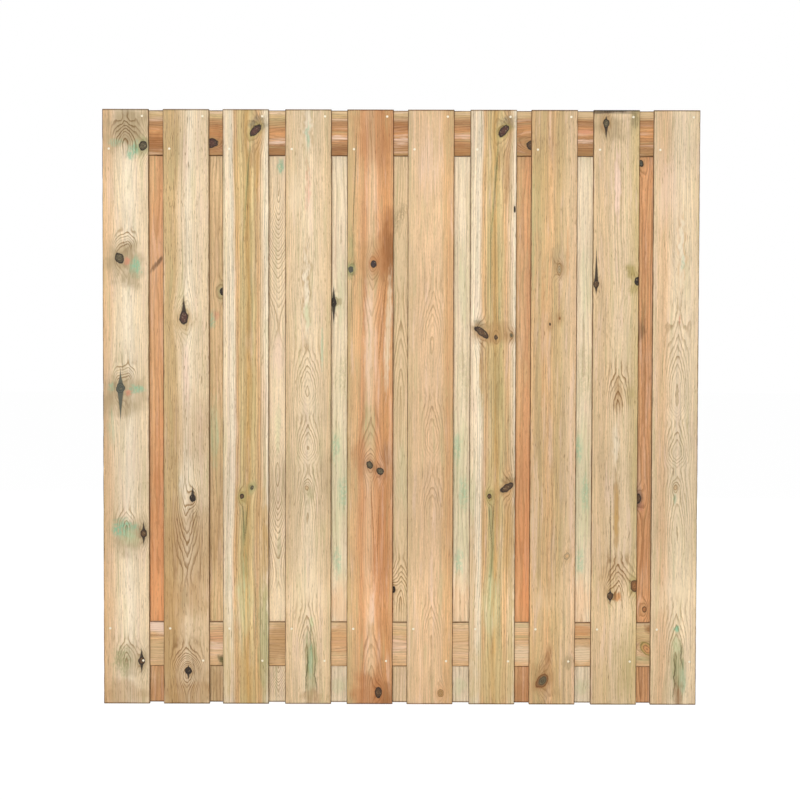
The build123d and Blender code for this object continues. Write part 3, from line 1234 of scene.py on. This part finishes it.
REAR_FINISHES = (
    replace(SALMON_HEART, stains=SALMON_HEART.stains + (
        Stain(0, 1100, 200, 1500, Tone.EMBER, 0.3, 0.3),
        Stain(-1, 1337, 16, 90, Tone.KNOT_BROWN, 0.8, 0.2, 40),
    )),
    WoodFinish(
        seed=22,
        bands=even(Tone.KHAKI, Tone.TAN, Tone.KHAKI),
        grain=Grain(ring=5.0, pith_depth=50, contrast=0.55, flecks=0.5),
        knots=(Knot(12, 1253, 18, 26, core=Tone.BARK, halo=Tone.MOSS, shade=0.6),),
        stains=(
            Stain(0, 900, 200, 2400, Tone.OCHRE, 0.3, 0.4),
            Stain(-18, 1169, 26, 70, Tone.MINT, 0.7, 0.3, 0, 0.5),
            Stain(-8, 1180, 26, 40, Tone.PINK, 0.6, 0.2),
            Stain(-12, 830, 36, 260, Tone.MINT, 0.45, 0.7),
            Stain(-10, 500, 50, 320, Tone.UMBER, 0.55, 0.7, 6),
            Stain(0, 40, 70, 180, Tone.UMBER, 0.5, 0.3),
        ),
    ),
    WoodFinish(
        seed=23,
        bands=even(Tone.PALE_TAN, Tone.CREAM, Tone.PALE_TAN),
        grain=Grain(
            ring=3.6, pith_across=-3, pith_depth=16, pith_sway=2, wander=3, jag=0.3, contrast=0.3,
            streak=0.6,
        ),
        arches=(
            Arch(1370, 420, -84, 500, 1.6, 260),
            Arch(560, 330, -44, 240, 1.8, 260),
            Arch(70, 90, -24, 60, 1.6, 260),
        ),
        stains=(
            Stain(4, 1630, 26, 60, Tone.MINT, 0.8, 0.2, 0, 0.5),
            Stain(0, 1060, 50, 160, Tone.BLUSH, 0.6, 0.4),
            Stain(0, 640, 70, 260, Tone.GREY_TAN, 0.4, 0.5),
            Stain(-4, 840, 22, 170, Tone.SAP_GREEN, 0.5, 0.2),
            Stain(0, 480, 14, 120, Tone.MOSS, 0.45, 0.5),
        ),
    ),
    replace(PALE_SAP, knots=(Knot(-19, 1221, 18, 30, core=Tone.BARK, spikes=(60, 90), halo=Tone.MOSS),)),
    WoodFinish(
        seed=25,
        bands=even(Tone.TAN, Tone.PALE_TAN, Tone.TAN),
        grain=Grain(ring=5.0, pith_depth=20, pith_sway=4, contrast=0.4),
        arches=(Arch(373, 150, 34, 400, 1.6, 240), Arch(1090, 300, 24, 300, 0.8, 240)),
        knots=(Knot(-21, 346, 15, 22, core=Tone.BARK), Knot(30, 1500, 6, 12, core=Tone.BARK, bend=0.5)),
        stains=(
            Stain(0, 900, 200, 2400, Tone.STRAW, 0.35, 0.4),
            Stain(-6, 1480, 50, 120, Tone.GREY_TAN, 0.8, 0.3, 30, 0.7),
            Stain(-26, 1100, 12, 420, Tone.GREY_TAN, 0.8, 0.2, 0, 0.5, 4),
            Stain(8, 700, 50, 300, Tone.SAP_GREEN, 0.4, 0.4),
            Stain(-24, 280, 8, 130, Tone.RUST, 0.8, 0.2),
        ),
    ),
    replace(PALE_SAP, seed=26),
    replace(SALMON_HEART, seed=27),
    replace(PALE_SAP, seed=28, bands=even(Tone.SAP_WHITE, Tone.SAP_WHITE, Tone.CREAM)),
    WoodFinish(
        seed=29,
        bands=even(Tone.SALMON, Tone.SALMON, Tone.RAIL_BROWN),
        grain=Grain(ring=5.0, pith_depth=40, contrast=0.6, streak=1.1),
        knots=(
            Knot(-12, 1643, 18, 22, core=Tone.SLATE),
            Knot(-14, 626, 20, 34, core=Tone.KNOT_BROWN, rim=Tone.BARK, shade=0.7, halo=Tone.KNOT_RED),
            Knot(8, 287, 15, 20, core=Tone.RUST, rim=Tone.KNOT_BROWN),
        ),
        stains=(
            Stain(-12, 1135, 40, 90, Tone.KNOT_BROWN, 0.6, 0.4),
            Stain(-4, 600, 22, 40, Tone.PINK, 0.6, 0.2),
            Stain(0, 500, 70, 300, Tone.RUST, 0.35, 0.6),
        ),
    ),
)

RAIL_FINISHES = {
    "top_rail": WoodFinish(
        seed=31,
        bands=(
            (0.0, Tone.UMBER), (0.2, Tone.RAIL_BROWN), (0.5, Tone.HEART), (0.75, Tone.RAIL_BROWN),
            (0.92, Tone.KHAKI), (1.0, Tone.TAN),
        ),
        grain=Grain(ring=5.6, pith_depth=36, pith_sway=14, wander=8, contrast=0.5, streak=1.3),
        knots=(
            Knot(-30, -572, 30, 40, core=Tone.KNOT_RED, shade=0.7),
            Knot(-34, 394, 30, 36, core=Tone.KNOT_BROWN, shade=0.7, bend=1.5),
        ),
        stains=(
            Stain(60, 700, 40, 1100, Tone.TAN, 0.8, 0.3),
            Stain(-30, -740, 80, 110, Tone.COPPER, 0.8, 0.3),
            Stain(-14, -555, 110, 70, Tone.COPPER, 0.6, 0.4),
            Stain(-24, -369, 26, 90, Tone.BLUSH, 0.8, 0.8),
            Stain(-56, -369, 40, 120, Tone.CHESTNUT, 0.7, 0.3),
            Stain(-14, -184, 22, 90, Tone.BLUSH, 0.85, 0.7),
            Stain(-54, -184, 44, 120, Tone.CHESTNUT, 0.85, 0.3),
            Stain(-22, 0, 26, 90, Tone.BLUSH, 0.8, 0.7),
            Stain(20, 0, 40, 110, Tone.COPPER, 0.7, 0.4),
            Stain(-8, 184, 22, 100, Tone.BLUSH, 0.75, 0.7),
            Stain(-50, 184, 44, 120, Tone.COPPER, 0.7, 0.4),
            Stain(6, 553, 22, 120, Tone.PINK, 0.8, 0.6),
            Stain(-22, 553, 16, 120, Tone.BLUSH, 0.8, 0.6),
            Stain(-56, 553, 40, 140, Tone.CHESTNUT, 0.6, 0.4),
            Stain(36, 553, 5, 140, Tone.CHESTNUT, 0.8, 0.2),
            Stain(38, 738, 5, 110, Tone.CHESTNUT, 0.8, 0.2),
        ),
    ),
    "bottom_rail": WoodFinish(
        seed=32,
        bands=even(Tone.APRICOT, Tone.PEACH, Tone.APRICOT, Tone.TAN),
        grain=Grain(ring=5.6, pith_depth=36, pith_sway=12, wander=8, contrast=0.4, streak=1.1),
        knots=(Knot(-12, 752, 34, 56, lean=-50, core=Tone.HEART, rim=Tone.OLIVE, shade=0.6, bend=1.5),),
        stains=(
            Stain(52, -740, 52, 200, Tone.BLUSH, 1.0, 0.0),
            Stain(26, -740, 4, 100, Tone.CHESTNUT, 0.9, 0.1),
            Stain(-20, -740, 80, 120, Tone.KHAKI, 0.8, 0.4),
            Stain(22, -555, 70, 90, Tone.PINK, 0.45, 0.6),
            Stain(-6, -555, 30, 90, Tone.BLUSH, 0.8, 0.6),
            Stain(-50, -536, 50, 50, Tone.DARK_OLIVE, 0.95, 0.1),
            Stain(0, -369, 170, 130, Tone.UMBER, 0.8, 0.3),
            Stain(10, -184, 120, 110, Tone.HEART, 0.6, 0.5),
            Stain(0, 0, 60, 110, Tone.BLUSH, 0.6, 0.6),
            Stain(0, 184, 150, 110, Tone.PEACH, 0.6, 0.4),
            Stain(-30, 369, 70, 110, Tone.CREAM, 0.8, 0.4),
            Stain(46, 553, 50, 130, Tone.HEART, 0.85, 0.3),
            Stain(-30, 553, 70, 130, Tone.CREAM, 0.85, 0.3),
            Stain(18, 553, 4, 120, Tone.KNOT_BROWN, 0.9, 0.0),
            Stain(30, 738, 60, 110, Tone.STRAW, 0.8, 0.4),
            Stain(-46, 738, 30, 110, Tone.GREENWOOD, 0.7, 0.5),
            Stain(50, 762, 40, 40, Tone.CHESTNUT, 0.8, 0.3),
        ),
    ),
}


@dataclass
class Studio:
    """Pale floor, soft light and the camera, in metres.

    Attributes:
        camera_distance: distance of the camera from the panel's front.
        camera_height: height of the camera.
        aim_height: height of the point it looks at.
        aim_across: place of that point along the panel.
        lens: focal length in millimetres.
        roll: turn of the camera about its own axis, in radians.
        floor_size: width of the square floor.
        soft_light: strength of the surround as a light.
        seen_light: strength of the surround where it is seen.
        front: place of the panel's front along Y.
    """

    camera_distance: float = 5.5
    camera_height: float = 1.123
    aim_height: float = 0.926
    aim_across: float = -0.0017
    lens: float = 81.9
    roll: float = math.radians(0.14)
    floor_size: float = 60.0
    soft_light: float = 0.2
    seen_light: float = 1.0
    front: float = field(default_factory=lambda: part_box("front_board_01")[0].y)

    def build(self) -> None:
        """Add the floor, the lights and the camera."""
        self._floor()
        self._world()
        self._lamp("key_light", (-0.4, -7.0, 1.7), 1.5, 328.0)
        self._lamp("back_light", (0.8, 7.0, 1.7), 1.5, 300.0)
        self._lamp("top_light", (0.0, -1.6, 6.5), 4.0, 40.0)
        self._camera()

    def _floor(self) -> None:
        """Add a plain pale floor that keeps the panel's soft shadow."""
        deselect()
        bpy.ops.mesh.primitive_plane_add(size=self.floor_size, location=(0.0, 0.0, 0.0))
        floor = bpy.context.object
        floor.name = "floor"
        sheet = NodeSheet("floor_white")
        ray = sheet.node("LightPath")
        seen = sheet.math("MAXIMUM", ray.outputs["Is Camera Ray"], ray.outputs["Is Glossy Ray"])
        seen = sheet.math("MAXIMUM", seen, ray.outputs["Is Transmission Ray"])
        matt = sheet.node("BsdfDiffuse")
        matt.inputs["Color"].default_value = (0.8, 0.8, 0.8, 1.0)
        bright = sheet.node("Emission")
        bright.inputs["Strength"].default_value = 1.2
        mix = sheet.node("MixShader")
        sheet.feed(mix.inputs[0], sheet.math("MULTIPLY", seen, 0.8))
        sheet.feed(mix.inputs[1], matt.outputs[0])
        sheet.feed(mix.inputs[2], bright.outputs[0])
        out = sheet.node("OutputMaterial")
        sheet.feed(out.inputs[0], mix.outputs[0])
        floor.data.materials.append(sheet.material)

    def _world(self) -> None:
        """Set a white surround that lights the panel softly."""
        world = bpy.data.worlds.new("white_surround")
        bpy.context.scene.world = world
        world.use_nodes = True
        tree = world.node_tree
        tree.nodes.clear()
        ray = tree.nodes.new("ShaderNodeLightPath")
        seen = tree.nodes.new("ShaderNodeMath")
        seen.operation = "MAXIMUM"
        tree.links.new(ray.outputs["Is Camera Ray"], seen.inputs[0])
        tree.links.new(ray.outputs["Is Glossy Ray"], seen.inputs[1])
        clear = tree.nodes.new("ShaderNodeMath")
        clear.operation = "MAXIMUM"
        tree.links.new(seen.outputs[0], clear.inputs[0])
        tree.links.new(ray.outputs["Is Transmission Ray"], clear.inputs[1])
        level = tree.nodes.new("ShaderNodeMapRange")
        tree.links.new(clear.outputs[0], level.inputs["Value"])
        level.inputs["To Min"].default_value = self.soft_light
        level.inputs["To Max"].default_value = self.seen_light
        sky = tree.nodes.new("ShaderNodeBackground")
        sky.inputs["Color"].default_value = (1.0, 1.0, 1.0, 1.0)
        tree.links.new(level.outputs[0], sky.inputs["Strength"])
        out = tree.nodes.new("ShaderNodeOutputWorld")
        tree.links.new(sky.outputs[0], out.inputs[0])

    def _lamp(self, name: str, place: tuple[float, float, float], size: float, power: float) -> None:
        """Add one soft lamp that faces the middle of the panel.

        Args:
            name: name of the lamp.
            place: where it stands.
            size: width of its square face.
            power: its power in watts.
        """
        lamp = bpy.data.lights.new(name, "AREA")
        lamp.energy = power
        lamp.size = size
        holder = bpy.data.objects.new(name, lamp)
        bpy.context.scene.collection.objects.link(holder)
        aim = Vector((0.0, self.front, 0.9)) - Vector(place)
        holder.matrix_world = Matrix.Translation(place) @ aim.to_track_quat("-Z", "Y").to_matrix().to_4x4()

    def _camera(self) -> None:
        """Add the camera at the photograph's angle."""
        camera = bpy.data.cameras.new("camera")
        camera.lens = self.lens
        camera.sensor_width = 36.0
        holder = bpy.data.objects.new("camera", camera)
        bpy.context.scene.collection.objects.link(holder)
        place = Vector((self.aim_across, self.front - self.camera_distance, self.camera_height))
        aim = Vector((self.aim_across, self.front, self.aim_height)) - place
        turn = aim.to_track_quat("-Z", "Y").to_matrix().to_4x4()
        holder.matrix_world = Matrix.Translation(place) @ turn @ Matrix.Rotation(self.roll, 4, "Z")
        bpy.context.scene.camera = holder


def ripple(seed: int, place: np.ndarray, size: float, waves: int = 7) -> np.ndarray:
    """Return a smooth random field from 0 to 1.

    Args:
        seed: picks the field.
        place: points in metres, one in each row.
        size: size of its features in metres.
        waves: number of waves laid over each other.

    Returns:
        One number for each point.
    """
    rng = np.random.default_rng(seed)
    total = np.zeros(len(place))
    for _ in range(waves):
        heading = rng.normal(size=3)
        heading *= rng.uniform(0.6, 1.6) * math.tau / size / np.linalg.norm(heading)
        total += np.sin(place @ heading + rng.uniform(0.0, math.tau))
    return np.clip(0.5 + total / (2.2 * math.sqrt(waves)), 0.0, 1.0)


def deselect() -> None:
    """Clear the selection before a piece is modelled."""
    bpy.ops.object.select_all(action="DESELECT")


def pick_edges(piece: bpy.types.Object, test: Callable[[Vector, Vector], bool]) -> None:
    """Select the edges of a piece in edit mode whose two ends pass a test.

    Args:
        piece: the piece in edit mode.
        test: takes an edge's two ends.
    """
    mesh = bmesh.from_edit_mesh(piece.data)
    for edge in mesh.edges:
        edge.select_set(test(edge.verts[0].co, edge.verts[1].co))
    mesh.select_flush_mode()
    bmesh.update_edit_mesh(piece.data)


def read_points(piece: bpy.types.Object) -> np.ndarray:
    """Return the vertices of a piece.

    Args:
        piece: the piece.

    Returns:
        One vertex in each row, in metres.
    """
    points = np.empty(len(piece.data.vertices) * 3)
    piece.data.vertices.foreach_get("co", points)
    return points.reshape(-1, 3)


def write_points(piece: bpy.types.Object, points: np.ndarray) -> None:
    """Put the vertices of a piece where the rows say.

    Args:
        piece: the piece.
        points: one vertex in each row, in metres.
    """
    piece.data.vertices.foreach_set("co", points.ravel())
    piece.data.update()


def twin(blank: bpy.types.Object, name: str) -> bpy.types.Object:
    """Copy a modelled piece, with a mesh of its own.

    Args:
        blank: the modelled piece.
        name: name of the copy.

    Returns:
        The copy.
    """
    deselect()
    blank.select_set(True)
    bpy.context.view_layer.objects.active = blank
    bpy.ops.object.duplicate(linked=False)
    copy = bpy.context.object
    copy.name = name
    copy.data.name = name
    return copy


@dataclass
class Plank:
    """A planed piece of pine with rounded long edges, in metres.

    Attributes:
        width: width across the grain.
        thickness: thickness.
        length: length along the grain.
        edge: radius of the long edges.
        arris: bevel of the sawn ends.
        columns: cuts of the mesh across each face.
        rows: cuts of the mesh along the grain, one number for each pass.
        proud: how far the nail heads stand out of its outer face.
        warp: depth of the slow unevenness of a planed face.
        wear: deepest wear of the long edges.
    """

    width: float
    thickness: float
    length: float
    edge: float = 0.003
    arris: float = 0.0008
    columns: int = 21
    rows: tuple[int, int] = (14, 12)
    proud: float = 0.00015
    warp: float = 0.0004
    wear: float = 0.0006

    def blank(self, name: str) -> bpy.types.Object:
        """Model the plain piece, with its grain along Z from the origin.

        Args:
            name: name of the piece.

        Returns:
            The modelled piece.
        """
        deselect()
        bpy.ops.mesh.primitive_cube_add(size=1.0, location=(0.0, 0.0, self.length / 2))
        piece = bpy.context.object
        piece.name = name
        piece.scale = (self.width, self.thickness, self.length)
        bpy.ops.object.transform_apply(location=True, rotation=False, scale=True)
        bpy.ops.object.mode_set(mode="EDIT")
        bpy.ops.mesh.select_mode(type="EDGE")
        pick_edges(piece, lambda a, b: abs(a.z - b.z) > self.length / 2)
        bpy.ops.mesh.bevel(offset=self.edge, segments=4, profile=0.5, affect="EDGES")
        pick_edges(piece, lambda a, b: abs(a.z - b.z) < self.arris)
        bpy.ops.mesh.bevel(offset=self.arris, segments=1, profile=0.5, affect="EDGES")
        pick_edges(piece, lambda a, b: abs(a.x - b.x) > self.width / 2)
        bpy.ops.mesh.subdivide(number_cuts=self.columns)
        for cuts in self.rows:
            longest = 0.9 * max(abs(e.calc_length()) for e in bmesh.from_edit_mesh(piece.data).edges)
            pick_edges(piece, lambda a, b: abs(a.z - b.z) > longest)
            bpy.ops.mesh.subdivide(number_cuts=cuts)
        bpy.ops.object.mode_set(mode="OBJECT")
        bpy.ops.object.shade_smooth_by_angle(angle=math.radians(38.0))
        return piece

    def weather(self, piece: bpy.types.Object, seed: int, knots: Sequence[Knot], outward: float) -> None:
        """Make a copy uneven, as planed and dried wood is, without leaving its packed size.

        Args:
            piece: the copy, still with its grain along Z from the origin.
            seed: picks its own unevenness.
            knots: branches that swell or shrink in its face.
            outward: -1 or 1, the side of Y with the nail heads, or 0 for neither.
        """
        points = read_points(piece)
        side = np.sign(points[:, 1])
        flat = np.clip((np.abs(points[:, 1]) - self.thickness / 2 + self.edge) / self.edge, 0.0, 1.0)
        depth = self.warp * ripple(seed, points * (1.0, 1.0, 0.35), 0.09)
        for knot in knots:
            beside = (points[:, 0] / MM - knot.across) / knot.width
            along = (points[:, 2] / MM - knot.up) / knot.length
            away = np.hypot(beside, along)
            depth += self.warp * np.exp(-((away - 0.55) / 0.18) ** 2)
        depth += np.where(side == outward, self.proud, 0.0)
        points[:, 1] -= side * flat * depth
        patchy = self.wear * ripple(seed + 50, points * (0.2, 0.2, 1.0), 0.05) ** 2
        points[:, 0] -= np.sign(points[:, 0]) * patchy * (np.abs(points[:, 0]) > self.width / 2 - self.edge)
        write_points(piece, points)


@dataclass
class WoodPiece:
    """One board or rail of the panel, around its node in the frame.

    Attributes:
        node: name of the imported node.
        finish: how its wood looks.
        run: which way its grain runs.
        slot: colour slot of the record.
        outward: -1 or 1, the side of Y with the nail heads, or 0 for neither.
    """

    node: str
    finish: WoodFinish
    run: Run
    slot: str
    outward: float

    def build(self, plank: Plank, blank: bpy.types.Object) -> bpy.types.Object:
        """Copy the blank, make it uneven, bring it to its place and dress it.

        Args:
            plank: sizes of the blank.
            blank: the modelled plain piece.

        Returns:
            The finished piece.
        """
        low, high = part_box(self.node)
        middle = (low + high) / 2
        piece = twin(blank, self.node + "_wood")
        if self.run is Run.UPRIGHT:
            plank.weather(piece, self.finish.seed, self.finish.knots, self.outward)
            offset, ends = Vector((middle.x, middle.y, low.z)), (low.z / MM, high.z / MM)
            middle.z = 0.0
        else:
            plank.weather(piece, self.finish.seed, (), self.outward)
            deselect()
            piece.select_set(True)
            piece.rotation_euler = (0.0, math.pi / 2, 0.0)
            bpy.ops.object.transform_apply(location=False, rotation=True, scale=False)
            offset, ends = Vector((low.x, middle.y, middle.z)), (low.x / MM, high.x / MM)
            middle.x = 0.0
        write_points(piece, read_points(piece) + np.array(offset))
        material = self.finish.material(self.node + "_pine", middle, plank.width / MM, ends, self.run)
        piece.data.materials.clear()
        piece.data.materials.append(material)
        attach(piece, BODY)
        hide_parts(self.node)
        return piece


@dataclass(frozen=True)
class NailFinish:
    """Bright flat nail heads.

    Attributes:
        colour: linear colour of the heads.
        roughness: their roughness.
    """

    colour: tuple[float, float, float, float] = (0.90, 0.83, 0.66, 1.0)
    roughness: float = 0.45

    def material(self, name: str) -> bpy.types.Material:
        """Return the finish as a material.

        Args:
            name: name of the material.

        Returns:
            The material.
        """
        sheet = NodeSheet(name)
        where = sheet.node("TexCoord").outputs["Object"]
        place = sheet.vector("DIVIDE", where, (MM, MM, MM)).outputs[0]
        patchy = sheet.noise(place, (1.4, 1.4, 1.4), 2.0)
        colour = sheet.blend(sheet.span(patchy, -0.2, 1.2, 0.0, 0.5), self.colour, Tone.TAN.linear())
        return sheet.finish(colour, self.roughness, patchy, 0.0001)


@dataclass
class NailRow:
    """The flat-head nails of one row of boards, in metres.

    Attributes:
        node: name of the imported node.
        boards: names of the boards that the nails hold.
        outward: -1 or 1, the side of Y where the heads show.
        head: diameter of a head.
        head_thickness: thickness of a head.
        shank: width of the square shank.
        length: length of a nail.
        across: distance of a nail from the middle of its board.
        up: distance of a nail from the middle of its rail.
    """

    node: str
    boards: tuple[str, ...]
    outward: float
    head: float = 0.007
    head_thickness: float = 0.0012
    shank: float = 0.0028
    length: float = 0.027
    across: float = 0.050
    up: float = 0.049

    def build(self) -> bpy.types.Object:
        """Model one nail and set a copy of it at each place.

        Returns:
            All nails of the row as one piece.
        """
        nail = self._nail()
        low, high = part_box(self.node)
        face = low.y if self.outward < 0 else high.y
        copies = []
        for spot in self._places():
            copy = twin(nail, self.node + "_copy")
            points = read_points(copy) * (1.0, -self.outward, 1.0)
            write_points(copy, points + np.array((spot[0], face, spot[1])))
            copies.append(copy)
        bpy.data.objects.remove(nail)
        deselect()
        for copy in copies:
            copy.select_set(True)
        bpy.context.view_layer.objects.active = copies[0]
        bpy.ops.object.join()
        row = bpy.context.object
        row.name = self.node + "_steel"
        bpy.ops.object.mode_set(mode="EDIT")
        bpy.ops.mesh.select_all(action="SELECT")
        bpy.ops.mesh.normals_make_consistent(inside=False)
        bpy.ops.object.mode_set(mode="OBJECT")
        row.data.materials.append(NailFinish().material(self.node + "_bright"))
        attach(row, BODY)
        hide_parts(self.node)
        return row

    def _places(self) -> list[tuple[float, float]]:
        """Work out where the nails are.

        Returns:
            The places of the nails along X and Z.
        """
        rails = [(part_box(name), slant) for name, slant in (("top_rail", 1.0), ("bottom_rail", -1.0))]
        places = []
        for board in self.boards:
            low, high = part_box(board)
            for (foot, top), slant in rails:
                for side in (-1.0, 1.0):
                    places.append(((low.x + high.x) / 2 + side * self.across,
                                   (foot.z + top.z) / 2 + side * slant * self.up))
        return places

    def _nail(self) -> bpy.types.Object:
        """Model one nail that points along Y, with the top of its head at the origin.

        Returns:
            The modelled nail.
        """
        deselect()
        bpy.ops.mesh.primitive_cylinder_add(vertices=24, radius=self.head / 2, depth=self.head_thickness,
                                            location=(0.0, self.head_thickness / 2, 0.0),
                                            rotation=(math.pi / 2, 0.0, 0.0))
        nail = bpy.context.object
        bpy.ops.object.transform_apply(location=True, rotation=True, scale=True)
        bpy.ops.object.mode_set(mode="EDIT")
        bpy.ops.mesh.select_mode(type="EDGE")
        pick_edges(nail, lambda a, b: max(a.y, b.y) < self.head_thickness / 2)
        bpy.ops.mesh.bevel(offset=self.head_thickness / 4, segments=2, profile=0.5, affect="EDGES")
        bpy.ops.mesh.primitive_cube_add(size=1.0)
        bpy.ops.transform.resize(value=(self.shank, self.length - self.head_thickness, self.shank))
        bpy.ops.transform.translate(value=(0.0, (self.length + self.head_thickness) / 2, 0.0))
        bpy.ops.object.mode_set(mode="OBJECT")
        bpy.ops.object.shade_smooth_by_angle(angle=math.radians(35.0))
        return nail


@dataclass
class Panel:
    """The whole fence panel: two rows of boards, two rails and their nails.

    Attributes:
        board: sizes of every board.
        rail: sizes of both rails.
    """

    board: Plank = field(default_factory=lambda: Plank(width=0.140, thickness=0.015, length=1.800))
    rail: Plank = field(default_factory=lambda: Plank(width=0.136, thickness=0.015, length=1.796, edge=0.002,
                                                      proud=0.0))

    def build(self) -> None:
        """Model, place and dress every piece."""
        front = [WoodPiece(f"front_board_{i:02d}", finish, Run.UPRIGHT, "board_wood", -1.0)
                 for i, finish in enumerate(FRONT_FINISHES, start=1)]
        behind = [replace(finish, weather=REAR_LEVELS_WITH_PAINTED_LIGHT) for finish in REAR_FINISHES]
        rear = [WoodPiece(f"rear_board_{i:02d}", finish, Run.UPRIGHT, "board_wood", 1.0)
                for i, finish in enumerate(behind, start=1)]
        rails = [WoodPiece(node, finish, Run.LEVEL, "rail_wood", 0.0)
                 for node, finish in RAIL_FINISHES.items()]
        self._cut(self.board, front + rear)
        self._cut(self.rail, rails)
        for name, outward, row in (("front_nails", -1.0, front), ("rear_nails", 1.0, rear)):
            nails = NailRow(name, tuple(piece.node for piece in row), outward).build()
            LOG.info("drove %s", nails.name)

    def _cut(self, plank: Plank, pieces: Sequence[WoodPiece]) -> None:
        """Model one blank and make every piece of that size from it.

        Args:
            plank: sizes of the blank.
            pieces: boards or rails to make from it.
        """
        blank = plank.blank("blank")
        for piece in pieces:
            LOG.info("built %s", piece.build(plank, blank).name)
        bpy.data.objects.remove(blank)


def main() -> None:
    """Dress the panel and set up the studio."""
    logging.basicConfig(level=logging.INFO)
    bpy.context.scene.view_settings.view_transform = "Standard"
    Panel().build()
    Studio().build()


if __name__ == "__main__":
    main()
